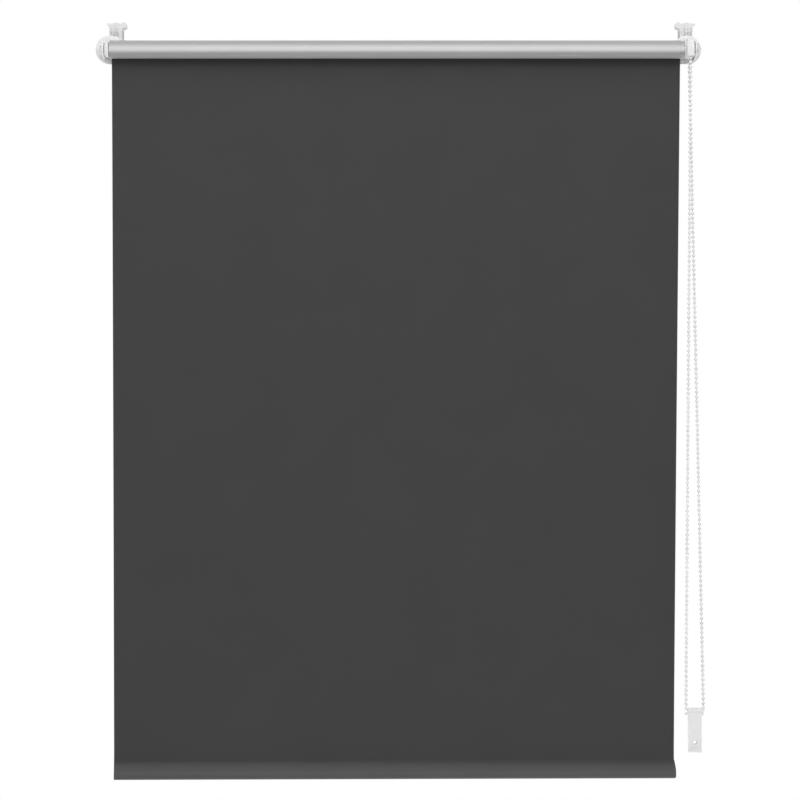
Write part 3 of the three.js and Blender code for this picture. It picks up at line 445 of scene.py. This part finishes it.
def finish_part(name, material, edge_radius, edge_steps=2):
    """Joins the part's triangles into flat faces, rounds its edges above an angle by
    the tool radius, and shades the rest smooth with normals led by the large faces."""
    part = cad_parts[name]
    for slot in part.material_slots:
        slot.material = material
    part.modifiers.new("join", "WELD").merge_threshold = WELD_GAP
    flat = part.modifiers.new("flat_faces", "DECIMATE")
    flat.decimate_type = "DISSOLVE"
    flat.angle_limit = FLAT_WITHIN
    edge = part.modifiers.new("tool_radius", "BEVEL")
    edge.width = edge_radius
    edge.segments = edge_steps
    edge.limit_method = "ANGLE"
    edge.angle_limit = ROUND_ABOVE
    edge.use_clamp_overlap = True
    part.modifiers.new("shade", "NODES").node_group = shade_by_angle
    even = part.modifiers.new("flat_faces_stay_flat", "WEIGHTED_NORMAL")
    even.keep_sharp = True
    even.weight = 100


finish_part("tag_front", tag_plastic, 0.00035, 3)
finish_part("tag_back", tag_plastic, 0.00035, 3)

# ---------------------------------------------------------------- roller tube
# Extruded aluminium tube, satin from the die, sawn square and deburred at both ends.
TUBE_WALL = 0.001
TUBE_DEBURR = 0.0003
DOME_OVERLAP = 0.0011        # the tube's idle end stops this far short of its cut length
tube_low, tube_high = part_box("roller_tube")
tube_radius = (tube_high.z - tube_low.z) / 2


def rim_stations(x0, x1, wall, rounding, steps=4):
    """(x, depth into the wall) once round a tube wall: along the outside, round the
    far end's two corners, back along the inside, and round the near end's corners."""
    quarter = np.linspace(0, np.pi / 2, steps)
    deep = rounding * (1 - np.cos(quarter))
    far = np.stack([x1 - rounding + rounding * np.sin(quarter), deep], -1)
    far_inner = np.stack([far[::-1, 0], wall - far[::-1, 1]], -1)
    near_inner = np.stack([x0 + (x1 - far[:, 0]), wall - far[:, 1]], -1)
    near = np.stack([near_inner[::-1, 0], wall - near_inner[::-1, 1]], -1)
    return np.vstack([far, far_inner, near_inner, near])


def circle_outline(radius, count=72):
    """(y, z) of a circle about the roller axis, at a depth below the radius."""
    phi = np.linspace(0, 2 * np.pi, count, endpoint=False)
    return lambda depth: np.stack(
        [axis_y + (radius - depth) * np.cos(phi), axis_z + (radius - depth) * np.sin(phi)], -1
    )


def sleeve_rings(outline, stations):
    """The outline at each station's depth, carried to that station's x."""
    flat = [outline(depth) for _, depth in stations]
    return np.stack(
        [np.column_stack([np.full(len(f), x), f]) for f, (x, _) in zip(flat, stations)]
    )


STREAK_STRENGTH = 0.3
STREAK_DEPTH = 0.00003
SMOOTHER, ROUGHER = 0.08, 0.12


def brushed_metal(name, color, roughness, along=(3, 700, 700), metallic=1.0):
    """Drawn metal: noise stretched along the drawing direction roughens and ripples
    the surface."""
    material, tree, shader = material_nodes(name, color, roughness, metallic)
    place = node(tree, "ShaderNodeTexCoord").outputs["Object"]
    stretch = node(tree, "ShaderNodeMapping", [("Vector", place)])
    stretch.inputs["Scale"].default_value = along
    streak = node(
        tree, "ShaderNodeTexNoise", [("Vector", stretch.outputs[0])], Scale=2.0, Detail=4.0
    )
    rough = node(tree, "ShaderNodeMapRange", [("Value", streak.outputs["Fac"])])
    rough.inputs["To Min"].default_value = roughness - SMOOTHER
    rough.inputs["To Max"].default_value = roughness + ROUGHER
    tree.links.new(rough.outputs["Result"], shader.inputs["Roughness"])
    bump = node(tree, "ShaderNodeBump", [("Height", streak.outputs["Fac"])])
    bump.inputs["Strength"].default_value = STREAK_STRENGTH
    bump.inputs["Distance"].default_value = STREAK_DEPTH
    tree.links.new(bump.outputs["Normal"], shader.inputs["Normal"])
    return material


tube_metal = brushed_metal("tube_aluminium", (0.64, 0.645, 0.65), 0.34, metallic=0.62)
tube_stations = rim_stations(
    tube_low.x + DOME_OVERLAP, tube_high.x, TUBE_WALL, TUBE_DEBURR
)
roller_tube = skin(
    "tube", sleeve_rings(circle_outline(tube_radius), tube_stations), tube_metal, ring_loop=True
)
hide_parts("roller_tube")
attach(roller_tube, "roller")

# ---------------------------------------------------------------- wound fabric
# The turn of cloth left on the tube at full drop. Its outer face is the silver
# coating; it leaves the tube at the back and falls straight down.
CLOTH = 0.00045
THREAD = 0.0007
WEAVE_DEPTH = 0.00004
CLOTH_CLOUDS = 14.0          # patches of slightly different tone per metre
CLOTH_FUZZ = 1600.0
ROLL_UNDER = 0.0004          # how far the turn tucks in under itself
ROLL_THICKNESS = 0.0003
ROLL_EDGE = 0.0001
ROLL_SEGMENTS = 96
roll_low, roll_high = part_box("fabric_roll")
roll_radius = (roll_high.z - roll_low.z) / 2


def spiral_outline():
    """(y, z) of one turn whose radius falls evenly from the tangent point, over the
    top and round to where the sheet leaves, so its two ends lie one on the other."""
    phi = np.linspace(0, 2 * np.pi, ROLL_SEGMENTS)

    def at(depth):
        """(y, z) of the turn at a depth below its outer face."""
        r = roll_radius - ROLL_UNDER * phi / (2 * np.pi) - depth
        return np.stack([axis_y + r * np.cos(phi), axis_z + r * np.sin(phi)], -1)

    return at


def woven_bump(tree, place, axes):
    """Height of a plain weave: the product of two sine waves at right angles, one wave
    to a thread, so that raised and sunk spots take turns both ways."""
    split = node(tree, "ShaderNodeSeparateXYZ", [("Vector", place)])
    waves = []
    for axis in axes:
        scaled = node(tree, "ShaderNodeMath", [(0, split.outputs[axis])], operation="MULTIPLY")
        scaled.inputs[1].default_value = 2 * math.pi / THREAD
        ridge = node(tree, "ShaderNodeMath", [(0, scaled.outputs[0])], operation="SINE")
        waves.append(ridge)
    return node(
        tree, "ShaderNodeMath", [(0, waves[0].outputs[0]), (1, waves[1].outputs[0])],
        operation="MULTIPLY",
    )


def coated_cloth(name, color, roughness, metallic, axes, mottle, weave=0.25):
    """Coated blind cloth: a fine weave, laid out on the cloth's own flat map or on two
    axes, shows through the coat as bump, and the coat's tone varies in patches."""
    material, tree, shader = material_nodes(name, color, roughness, metallic)
    coords = node(tree, "ShaderNodeTexCoord").outputs
    threads = woven_bump(tree, coords["UV" if axes == ("X", "Y") else "Object"], axes)
    cloud = node(
        tree, "ShaderNodeTexNoise", [("Vector", coords["Object"])],
        Scale=CLOTH_CLOUDS, Detail=5.0,
    )
    ramp = node(tree, "ShaderNodeValToRGB", [("Fac", cloud.outputs["Fac"])])
    ramp.color_ramp.elements[0].position = 0.3
    ramp.color_ramp.elements[0].color = (*(c * (1 - mottle) for c in color), 1)
    ramp.color_ramp.elements[1].position = 0.7
    ramp.color_ramp.elements[1].color = (*(c * (1 + mottle) for c in color), 1)
    tree.links.new(ramp.outputs["Color"], shader.inputs["Base Color"])
    fuzz = node(tree, "ShaderNodeTexNoise", [("Vector", coords["Object"])], Scale=CLOTH_FUZZ)
    height = node(
        tree, "ShaderNodeMath", [(0, threads.outputs[0]), (1, fuzz.outputs["Fac"])],
        operation="ADD",
    )
    bump = node(tree, "ShaderNodeBump", [("Height", height.outputs[0])])
    bump.inputs["Strength"].default_value = weave
    bump.inputs["Distance"].default_value = WEAVE_DEPTH
    tree.links.new(bump.outputs["Normal"], shader.inputs["Normal"])
    return material


silver_coat = coated_cloth(
    "silver_coat", (0.6, 0.6, 0.605), 0.34, 0.6, ("X", "Y"), mottle=0.02
)
roll_stations = rim_stations(roll_low.x, roll_high.x, ROLL_THICKNESS, ROLL_EDGE, 3)
roll_rings = sleeve_rings(spiral_outline(), roll_stations)
round_roll = np.linspace(0, 2 * np.pi * roll_radius, ROLL_SEGMENTS)
roll_uv = np.stack(
    [roll_rings[..., 0], np.broadcast_to(round_roll, roll_rings.shape[:2])], -1
)
wound_turn = skin("wound_turn", roll_rings, silver_coat, uv=roll_uv, ring_loop=True)
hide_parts("fabric_roll")
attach(wound_turn, "roller")

# ---------------------------------------------------------------- hanging sheet
# Blackout cloth, charcoal towards the room and silver towards the window, cut at the
# sides and hung from the roll. Its cut edges curl back a little as it falls.
SHEET_ROWS = 150
INNER_COLUMNS = 60
EDGE_STEPS = np.array([0.0, 0.04, 0.12, 0.25, 0.45, 0.7, 1.0, 2.0, 5.0])
SHEET_COLUMNS = INNER_COLUMNS - 2 + 2 * len(EDGE_STEPS)
IDLE_TAPER = 0.0031          # each cut edge moves in by this much from roll to hem
DRIVE_TAPER = 0.0082
IDLE_TAPER_POWER = 0.75
DRIVE_TAPER_POWER = 0.95
IDLE_BOW = 0.00064           # how far each side bows towards the window
DRIVE_BOW = 0.00352
BOW_REACH = 0.03
IDLE_ROLL_BACK = 0.0018      # radius that each cut edge turns back at
DRIVE_ROLL_BACK = 0.0026
RIPPLE = 0.00035
INTO_POCKET = 0.0012
HEM_TILT = 0.0011            # the hem hangs this much lower at the idle end
SHEEN = 0.15
hem_low, hem_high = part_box("hem_sleeve")
sheet_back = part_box("fabric_sheet")[1].y
sheet_top = axis_z
sheet_bottom = hem_high.z - INTO_POCKET
sheet_length = sheet_top - sheet_bottom


def fall(z):
    """0 at the roll and 1 at the hem."""
    return np.clip((sheet_top - z) / sheet_length, 0, 1)


def sheet_sides(z):
    """x of the two cut edges at a height: full width at the roll, drawn in by a power
    of the fall, more at the chain end."""
    s = fall(z)
    left = roll_low.x + IDLE_TAPER * s**IDLE_TAPER_POWER
    right = roll_high.x - DRIVE_TAPER * s**DRIVE_TAPER_POWER
    return left, right


def sheet_depth(x, z):
    """y of the sheet's middle: straight down from the roll, with slow vertical
    ripples that grow towards the hem, sides that bow towards the window as a square,
    and cut edges that turn back in a quarter circle."""
    s = fall(z)
    left, right = sheet_sides(z)
    ripple = np.sin(x * 17 + 0.6) + 0.6 * np.sin(x * 41 + 2.1 + 1.5 * s) + 0.3 * np.sin(x * 90)
    swell = s * (1 - s**8)
    near = lambda gap: np.clip(1 - gap / BOW_REACH, 0, 1) ** 2
    sides = IDLE_BOW * near(x - left) + DRIVE_BOW * near(right - x)
    arc = lambda gap, r: r * (1 - np.sqrt(1 - np.clip(1 - gap / r, 0, 0.985) ** 2))
    rolled = arc(x - left, IDLE_ROLL_BACK) + arc(right - x, DRIVE_ROLL_BACK)
    rolled = rolled * smoothstep(s / 0.03) * smoothstep((1 - s) / 0.01)
    bowed = RIPPLE * ripple * swell + sides * s * (1 - s**6)
    return sheet_back - CLOTH / 2 + bowed + rolled


def tilt(x):
    """Drop of the hem's line from level, largest at the idle end."""
    return HEM_TILT * x / hem_high.x


def sheet_rings():
    """One loop of the cloth's section at each height: the front face from left to
    right, then the back face from right to left, a cloth thickness behind it."""
    row = np.linspace(0, 1, SHEET_ROWS)
    height = sheet_top - sheet_length * row
    left, right = sheet_sides(height)
    near_idle = IDLE_ROLL_BACK * EDGE_STEPS
    near_drive = (DRIVE_ROLL_BACK * EDGE_STEPS)[::-1]
    share = np.linspace(0, 1, INNER_COLUMNS)
    start, end = left[:, None] + near_idle[-1], right[:, None] - near_drive[0]
    middle = start + (end - start) * share[1:-1]
    x = np.hstack([left[:, None] + near_idle, middle, right[:, None] - near_drive])
    z = height[:, None] + tilt(x) * fall(height)[:, None]
    y = sheet_depth(x, height[:, None])
    front = np.stack([x, y - CLOTH / 2, z], -1)
    back = np.stack([x, y + CLOTH / 2, z], -1)
    return np.concatenate([front, back[:, ::-1]], 1)


charcoal_color = (0.0355, 0.0355, 0.036)
charcoal_cloth = coated_cloth(
    "charcoal_cloth", charcoal_color, 0.82, 0.0, ("X", "Z"), mottle=0.03, weave=0.5
)
charcoal_cloth.node_tree.nodes["Principled BSDF"].inputs["Sheen Weight"].default_value = SHEEN
rings = sheet_rings()
hanging_sheet = skin("hanging_sheet", rings, charcoal_cloth, uv=rings[..., [0, 2]], ends="zip")
hanging_sheet.data.materials.append(silver_coat)
column = np.tile(np.arange(2 * SHEET_COLUMNS), SHEET_ROWS - 1)
behind = np.zeros(len(hanging_sheet.data.polygons), np.int32)
behind[: len(column)] = (column >= SHEET_COLUMNS) & (column < 2 * SHEET_COLUMNS - 1)
hanging_sheet.data.polygons.foreach_set("material_index", behind)
hanging_sheet.modifiers.new("shade", "NODES").node_group = shade_by_angle
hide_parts("fabric_sheet")
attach(hanging_sheet, "root")
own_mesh(hanging_sheet)

# ---------------------------------------------------------------- hem pocket
# The sheet's lower end folded back on itself and welded, with the bottom bar inside.
# Below the weld it swells into a slim teardrop round the bar.
WELD_HEIGHT = 0.0022
WELD_HALF = 0.0004           # half the thickness of the two welded layers
HEM_PAINTED_LIGHT = 2.35             # how much paler the coat is painted in the pocket: painted light for the light its swell catches
# Share of that painted light by the way down the pocket, from the weld to the foot.
HEM_PAINTED_LIGHT_SHARE = (
    (0.06, 0.46), (0.16, 0.56), (0.34, 0.78), (0.5, 0.85), (0.68, 1.0), (0.87, 0.84), (1, 0.7),
)
HEM_EDGE = 0.0001
HEM_CORNER = 0.003
CORNER_REACH = 0.004
FLARE = 0.0026               # the chain end slants out by this much down to the bar
FLARE_HEIGHT = 0.016
FLARE_POWER = 1.6
LEAST_HALF = 0.00006         # keeps the pocket's two layers from touching at the weld
hem_height = hem_high.z - hem_low.z
hem_middle = (hem_low.y + hem_high.y) / 2
hem_half = (hem_high.y - hem_low.y) / 2


def teardrop_outline(count=40):
    """(y, z) of the pocket: the half-thickness climbs evenly from the weld down and
    closes below in a half circle."""
    down = hem_height * np.linspace(0, 1, count)
    foot = hem_height - hem_half
    grown = np.clip((down - WELD_HEIGHT) / (foot - WELD_HEIGHT), 0, 1)
    round_end = np.sqrt(np.maximum(hem_half**2 - np.maximum(down - foot, 0) ** 2, 0))
    outer = np.minimum(WELD_HALF + (hem_half - WELD_HALF) * grown, round_end)

    def at(depth):
        """(y, z) of the pocket's section at a depth inside its outer face."""
        half = np.maximum(outer - depth, LEAST_HALF)
        lift = depth * smoothstep((down - foot) / hem_half)
        z = hem_high.z - down + lift
        front = np.stack([hem_middle - half, z], -1)
        back = np.stack([hem_middle + half, z], -1)
        return np.vstack([front, back[::-1]])

    return at


# The pocket's coat is the charcoal painted paler: painted light standing in for the light the
# swollen hem catches.
hem_cloth = coated_cloth(
    "hem_cloth", tuple(HEM_PAINTED_LIGHT * c for c in charcoal_color), 0.75, 0.0, ("X", "Z"),
    mottle=0.03, weave=0.5,
)
hem_tree = hem_cloth.node_tree
hem_shader = hem_tree.nodes["Principled BSDF"]
hem_tone = hem_shader.inputs["Base Color"].links[0].from_socket
hem_place = node(hem_tree, "ShaderNodeTexCoord").outputs["Object"]
hem_split = node(hem_tree, "ShaderNodeSeparateXYZ", [("Vector", hem_place)])
# Painted light: a ramp down the pocket makes its colour paler by the listed shares.
down_pocket = node(hem_tree, "ShaderNodeMapRange", [("Value", hem_split.outputs["Z"])])
down_pocket.inputs["From Min"].default_value = hem_high.z
down_pocket.inputs["From Max"].default_value = hem_low.z
painted_light_ramp = node(hem_tree, "ShaderNodeValToRGB", [("Fac", down_pocket.outputs["Result"])])
painted_light_steps = painted_light_ramp.color_ramp.elements
for spot, _ in HEM_PAINTED_LIGHT_SHARE[1:-1]:
    painted_light_steps.new(spot)
for step, (spot, share) in zip(painted_light_steps, HEM_PAINTED_LIGHT_SHARE):
    step.position, step.color = spot, (share, share, share, 1)
painted_paler = node(
    hem_tree, "ShaderNodeVectorMath", [(0, hem_tone), (1, painted_light_ramp.outputs["Color"])],
    operation="MULTIPLY",
)
hem_tree.links.new(painted_paler.outputs["Vector"], hem_shader.inputs["Base Color"])
hem_stations = rim_stations(hem_low.x, hem_high.x, CLOTH, HEM_EDGE, 3)
hem_rings = sleeve_rings(teardrop_outline(), hem_stations)
from_foot = np.clip(HEM_CORNER - (hem_rings[..., 2] - hem_low.z), 0, HEM_CORNER)
cut_back = HEM_CORNER - np.sqrt(HEM_CORNER**2 - from_foot**2)
down_share = np.clip((hem_high.z - hem_rings[..., 2]) / FLARE_HEIGHT, 0, 1)
cut_back = cut_back + FLARE * (1 - down_share) ** FLARE_POWER
near_drive = smoothstep((hem_rings[..., 0] - hem_high.x + CORNER_REACH) / CORNER_REACH)
hem_rings[..., 0] -= cut_back * near_drive
hem_rings[..., 2] += tilt(hem_rings[..., 0])
hem_pocket = skin(
    "hem_pocket", hem_rings, hem_cloth, uv=hem_rings[..., [0, 2]], ring_loop=True
)
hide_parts("hem_sleeve")
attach(hem_pocket, "hem")

# ---------------------------------------------------------------- bottom bar
# Flat aluminium bar with round edges that weights the hem, capped in plastic.
BAR_TAPER = 0.45
BAR_SQUARENESS = 0.45        # power of the sine and cosine: 1 is an ellipse, 0 a box
BAR_CORNER = 0.0003
CAP_CORNER = 0.0004
bar_low, bar_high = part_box("bottom_bar")


def bar_rings(x0, x1, low, high, rounding):
    """Superellipse section, narrower towards its top, carried along x and drawn in at
    both ends by a quarter arc."""
    phi = np.linspace(0, 2 * np.pi, 48, endpoint=False)
    quarter = np.linspace(0, np.pi / 2, 4)
    inset = rounding * (1 - np.sin(quarter))
    inset = np.concatenate([inset, inset[::-1]])
    step_in = rounding * (1 - np.cos(quarter))
    x = np.concatenate([x0 + step_in, x1 - step_in[::-1]])
    power = lambda v: np.sign(v) * np.abs(v) ** BAR_SQUARENESS
    half_y, half_z = (high.y - low.y) / 2, (high.z - low.z) / 2
    narrow = 1 - BAR_TAPER * smoothstep(power(np.sin(phi)))
    y = (low.y + high.y) / 2 + (half_y - inset)[:, None] * power(np.cos(phi)) * narrow
    z = (low.z + high.z) / 2 + (half_z - inset)[:, None] * power(np.sin(phi))
    xs = np.broadcast_to(x[:, None], y.shape)
    return np.stack([xs, y, z + tilt(xs)], -1)


bar_metal = brushed_metal("bar_aluminium", (0.55, 0.56, 0.57), 0.38)
bar = skin(
    "hem_bar", bar_rings(bar_low.x, bar_high.x, bar_low, bar_high, BAR_CORNER), bar_metal
)
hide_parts("bottom_bar")
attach(bar, "hem")
grey_plastic = moulded_plastic("grey_plastic", (0.2, 0.205, 0.21), 0.45)
for end in ("left", "right"):
    low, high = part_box(f"{end}_bar_cap")
    cap = skin(
        f"{end}_hem_cap", bar_rings(low.x, high.x, low, high, CAP_CORNER), grey_plastic
    )
    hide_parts(f"{end}_bar_cap")
    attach(cap, "hem")

# ---------------------------------------------------------------- idle plug and pin
# Nylon plug pressed into the tube, with a domed end and a sprung pin that snaps into
# the bracket. The spring sits behind the pin's collar inside the plug.
SPRING_TURNS = 7
SPRING_WIRE = 0.00035
SPRING_SEAT = 0.8            # turns at each end of a spring that lie close
SPRING_CLOSE = 1.05          # pitch of those turns over the wire's thickness
FACE_RADIUS = 0.0055         # flat face round the pin's hole
DOME_RADIUS = 0.0099
DOME_BULGE = 0.0036
DOME_RIM = 0.0003
NECK_WIDTH = 0.0009
NECK_RADIUS = 0.0058
TUBE_FIT = 0.0003            # play between the plug's body and the tube
COLLAR = 0.0002              # the body's shoulder inside the tube's end
COLLAR_CHAMFER = 0.0004
LEAD_IN = 0.0008
CHAMBER_RADIUS = 0.0046
CHAMBER_START = 0.012
PIN_HOLE_RADIUS = 0.0027
VENT_RADIUS = 0.0012
PLUG_FLOOR = 0.0025
white_plastic = moulded_plastic("white_plastic", (0.725, 0.725, 0.722), 0.38, translucent=0.08)
plug_low, plug_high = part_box("idle_plug")


def turned_rings(profile, count=72):
    """A closed profile of (x, radius) turned about the roller axis."""
    phi = np.linspace(0, 2 * np.pi, count, endpoint=False)
    x, radius = np.array(profile).T[:, :, None]
    xs = np.broadcast_to(x, (len(profile), count))
    return np.stack([xs, axis_y + radius * np.cos(phi), axis_z + radius * np.sin(phi)], -1)


def plug_profile():
    """A quarter ellipse for the dome, a narrow neck at the tube's end, the body inside
    the tube, and the pin's hole and spring chamber along the axis."""
    quarter = np.linspace(0, np.pi / 2, 12)
    dome = np.stack(
        [
            plug_low.x + DOME_BULGE * (1 - np.cos(quarter)),
            FACE_RADIUS + (DOME_RADIUS - FACE_RADIUS) * np.sin(quarter),
        ],
        -1,
    )
    tube_end = tube_low.x + DOME_OVERLAP
    neck = tube_end - NECK_WIDTH
    collar = tube_end + COLLAR
    body = tube_radius - TUBE_WALL - TUBE_FIT
    floor = plug_high.x - PLUG_FLOOR
    chamber = plug_low.x + CHAMBER_START
    rest = [
        (neck - DOME_RIM, DOME_RADIUS),
        (neck, DOME_RADIUS - DOME_RIM),
        (neck, NECK_RADIUS),
        (collar, NECK_RADIUS),
        (collar, body - COLLAR_CHAMFER),
        (collar + COLLAR_CHAMFER, body),
        (plug_high.x - LEAD_IN, body),
        (plug_high.x, body - LEAD_IN),
        (plug_high.x, VENT_RADIUS),
        (floor, VENT_RADIUS),
        (floor, CHAMBER_RADIUS),
        (chamber, CHAMBER_RADIUS),
        (chamber, PIN_HOLE_RADIUS),
        (plug_low.x + COLLAR_CHAMFER, PIN_HOLE_RADIUS),
        (plug_low.x, PIN_HOLE_RADIUS + COLLAR_CHAMFER),
    ]
    return np.vstack([dome, rest])


plug = skin("domed_plug", turned_rings(plug_profile()), white_plastic, ring_loop=True)
plug.modifiers.new("shade", "NODES").node_group = shade_by_angle
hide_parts("idle_plug")
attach(plug, "roller")


def spring_rings(x0, x1, radius, turns, wire_radius, sides=10, per_turn=36):
    """Helix about the roller axis with ground end turns: the angle runs evenly while
    x creeps over the first and last turn and climbs evenly between them."""
    t = np.linspace(0, 1, int(turns * per_turn) + 1)
    dead = SPRING_SEAT / turns
    close = 2 * wire_radius * SPRING_CLOSE * turns
    climb = np.clip((t - dead) / (1 - 2 * dead), 0, 1)
    tight = close * (np.minimum(t, dead) + np.maximum(t - 1 + dead, 0))
    slack = x1 - x0 - 2 * wire_radius - close * 2 * dead
    x = x0 + wire_radius + tight + slack * climb
    phi = 2 * np.pi * turns * t
    ray = np.stack([0 * phi, np.cos(phi), np.sin(phi)], -1)
    middle = np.array([0, axis_y, axis_z]) + radius * ray
    middle[:, 0] = x
    theta = np.linspace(0, 2 * np.pi, sides, endpoint=False)[None, :, None]
    across = np.cos(theta) * ray[:, None] + np.sin(theta) * np.array([1.0, 0, 0])
    return middle[:, None] + wire_radius * across


spring_steel = brushed_metal("spring_steel", (0.5, 0.5, 0.5), 0.3, (900, 900, 900))
zinc_steel = brushed_metal("zinc_steel", (0.55, 0.56, 0.57), 0.32, (400, 400, 400))
finish_part("idle_pin", white_plastic, 0.0002)
spring_low, spring_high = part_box("idle_spring")
pin_spring = skin(
    "pin_spring",
    spring_rings(
        spring_low.x, spring_high.x, (spring_high.z - spring_low.z) / 2 - SPRING_WIRE,
        SPRING_TURNS, SPRING_WIRE,
    ),
    spring_steel,
)
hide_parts("idle_spring")
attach(pin_spring, "roller")
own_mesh(pin_spring)

# ---------------------------------------------------------------- chain wheel
# Moulded wheel with eleven pockets that the beads drop into, and the sleeve that
# drives the adapter through the wrap springs' gap.
POCKETS = 11
POCKET_RADIUS = 0.0025
PITCH_RADIUS = 0.0105
TROUGH_RADIUS = 0.0017
LIP_RISE = 0.0011            # the groove's lips stand this far over the pitch circle
LIP_DROP = 0.0009            # and this far under the rim
GROOVE_LOW, GROOVE_HIGH = -0.0027, 0.0025
RIM_CORNER = 0.0003
SLEEVE_CORNER = 0.0002
FLANGE_WIDTH = 0.001
WEB = 0.001
WHEEL_WIDTH = 0.008
SLEEVE_INNER = 0.0063
SLEEVE_OUTER = 0.0072
HUB_BORE = 0.0048
wheel_start = wheel_high.x - WHEEL_WIDTH
groove_x = OVER_WHEEL[0][0]


def wheel_rings():
    """Turned profile whose groove is sunk by a round trough, and sunk further where
    the trough meets one of the evenly spaced pocket spheres."""
    rim = (wheel_high.z - wheel_low.z) / 2
    lip = rim - LIP_DROP
    flange = wheel_start + FLANGE_WIDTH
    groove = np.linspace(GROOVE_LOW, GROOVE_HIGH, 17)
    outside = [
        (wheel_low.x, SLEEVE_INNER),
        (wheel_low.x, SLEEVE_OUTER - SLEEVE_CORNER),
        (wheel_low.x + SLEEVE_CORNER, SLEEVE_OUTER),
        (wheel_start, SLEEVE_OUTER),
        (wheel_start, rim - RIM_CORNER),
        (wheel_start + RIM_CORNER, rim),
        (flange, rim),
        (flange + 0.0002, rim - 0.0004),
        (flange + 0.0003, lip),
    ]
    inside = [
        (wheel_high.x - SLEEVE_CORNER, lip),
        (wheel_high.x, lip - SLEEVE_CORNER),
        (wheel_high.x, HUB_BORE),
        (wheel_start + WEB, HUB_BORE),
        (wheel_start + WEB, SLEEVE_INNER),
    ]
    phi = np.linspace(0, 2 * np.pi, POCKETS * 12, endpoint=False)
    offset = (np.mod(phi * POCKETS / (2 * np.pi) + 0.5, 1) - 0.5) * 2 * np.pi / POCKETS
    trough = np.sqrt(np.maximum(TROUGH_RADIUS**2 - groove**2, 0))
    ball = np.sqrt(
        np.maximum(POCKET_RADIUS**2 - groove[:, None] ** 2 - (PITCH_RADIUS * offset) ** 2, 0)
    )
    depth = np.maximum(trough[:, None], ball)
    middle = np.minimum(lip, PITCH_RADIUS - depth + LIP_RISE * (depth <= 0))
    turned = lambda points: np.repeat(np.array(points)[:, 1:], len(phi), 1)
    radius = np.vstack([turned(outside), middle, turned(inside)])
    x = np.concatenate([np.array(outside)[:, 0], groove_x + groove, np.array(inside)[:, 0]])
    xs = np.broadcast_to(x[:, None], radius.shape)
    return np.stack([xs, axis_y + radius * np.cos(phi), axis_z + radius * np.sin(phi)], -1)


wheel = skin("bead_wheel", wheel_rings(), white_plastic, ring_loop=True)
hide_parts("chain_wheel")
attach(wheel, "roller")
finish_part("drive_adapter", white_plastic, 0.0002)

# ---------------------------------------------------------------- wrap-spring clutch
# Fixed core with two square-shouldered wrap springs, a snap ring and the screw that
# draws it to the bracket; the hood over the wheel keeps the beads in their pockets.
WRAP_WIRE = 0.00045
WRAP_TURNS = 6
for end in ("inner", "outer"):
    low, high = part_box(f"wrap_spring_{end}")
    wrap = skin(
        f"clutch_spring_{end}",
        spring_rings(low.x, high.x, (high.z - low.z) / 2 - WRAP_WIRE, WRAP_TURNS, WRAP_WIRE),
        spring_steel,
    )
    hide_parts(f"wrap_spring_{end}")
    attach(wrap, "root")
finish_part("clutch_core", white_plastic, 0.0002)
finish_part("clutch_clip", spring_steel, 0.0001)
finish_part("chain_guard", white_plastic, 0.0003)
finish_part("core_screw", zinc_steel, 0.0002)

# ---------------------------------------------------------------- clamps and brackets
# Moulded hooks that hang on the sash, each tightened by a screw with a thumbwheel,
# and the brackets that slide on their legs. Foam keeps them off the frame.
FOAM_SQUARENESS = 0.35
FOAM_EDGE = (0.5, 0.93, 0.98, 1.0)      # rings from the middle out, as shares of the pad
FOAM_CROWN = (0.98, 0.93, 0.8, 0.55)    # and the share of its thickness at each
foam_tape = moulded_plastic("foam_tape", (0.6, 0.6, 0.58), 0.9, mottle=0.12, grain=0.0003)


def foam_rings(low, high):
    """Strip of foam tape: a rounded-rectangle outline whose thickness falls off in a
    quarter arc at its border and is fullest at the middle."""
    phi = np.linspace(0, 2 * np.pi, 64, endpoint=False)
    edge, crown = np.array(FOAM_EDGE), np.array(FOAM_CROWN)
    power = lambda v: np.sign(v) * np.abs(v) ** FOAM_SQUARENESS
    half_x, half_z = (high.x - low.x) / 2, (high.z - low.z) / 2
    half_y = (high.y - low.y) / 2
    scale = np.concatenate([edge, edge[::-1]])
    depth = np.concatenate([-crown, crown[::-1]]) * half_y
    x = (low.x + high.x) / 2 + half_x * scale[:, None] * power(np.cos(phi))
    z = (low.z + high.z) / 2 + half_z * scale[:, None] * power(np.sin(phi))
    y = np.broadcast_to((low.y + high.y) / 2 + depth[:, None], x.shape)
    return np.stack([x, y, z], -1)


for side, jaw in (("left", "left_jaw"), ("right", "right_jaw")):
    finish_part(f"{side}_clamp_body", white_plastic, 0.0005, 3)
    finish_part(f"{side}_clamp_jaw", white_plastic, 0.0005, 3)
    finish_part(f"{side}_clamp_screw", white_plastic, 0.0002)
    finish_part(f"{side}_bracket", white_plastic, 0.00045, 3)
    finish_part(f"{side}_bracket_screw", zinc_steel, 0.00015)
    for place, body in (("leg", "root"), ("jaw", jaw)):
        low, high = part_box(f"{side}_{place}_foam")
        pad = skin(f"{side}_{place}_tape", foam_rings(low, high), foam_tape)
        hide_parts(f"{side}_{place}_foam")
        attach(pad, body)
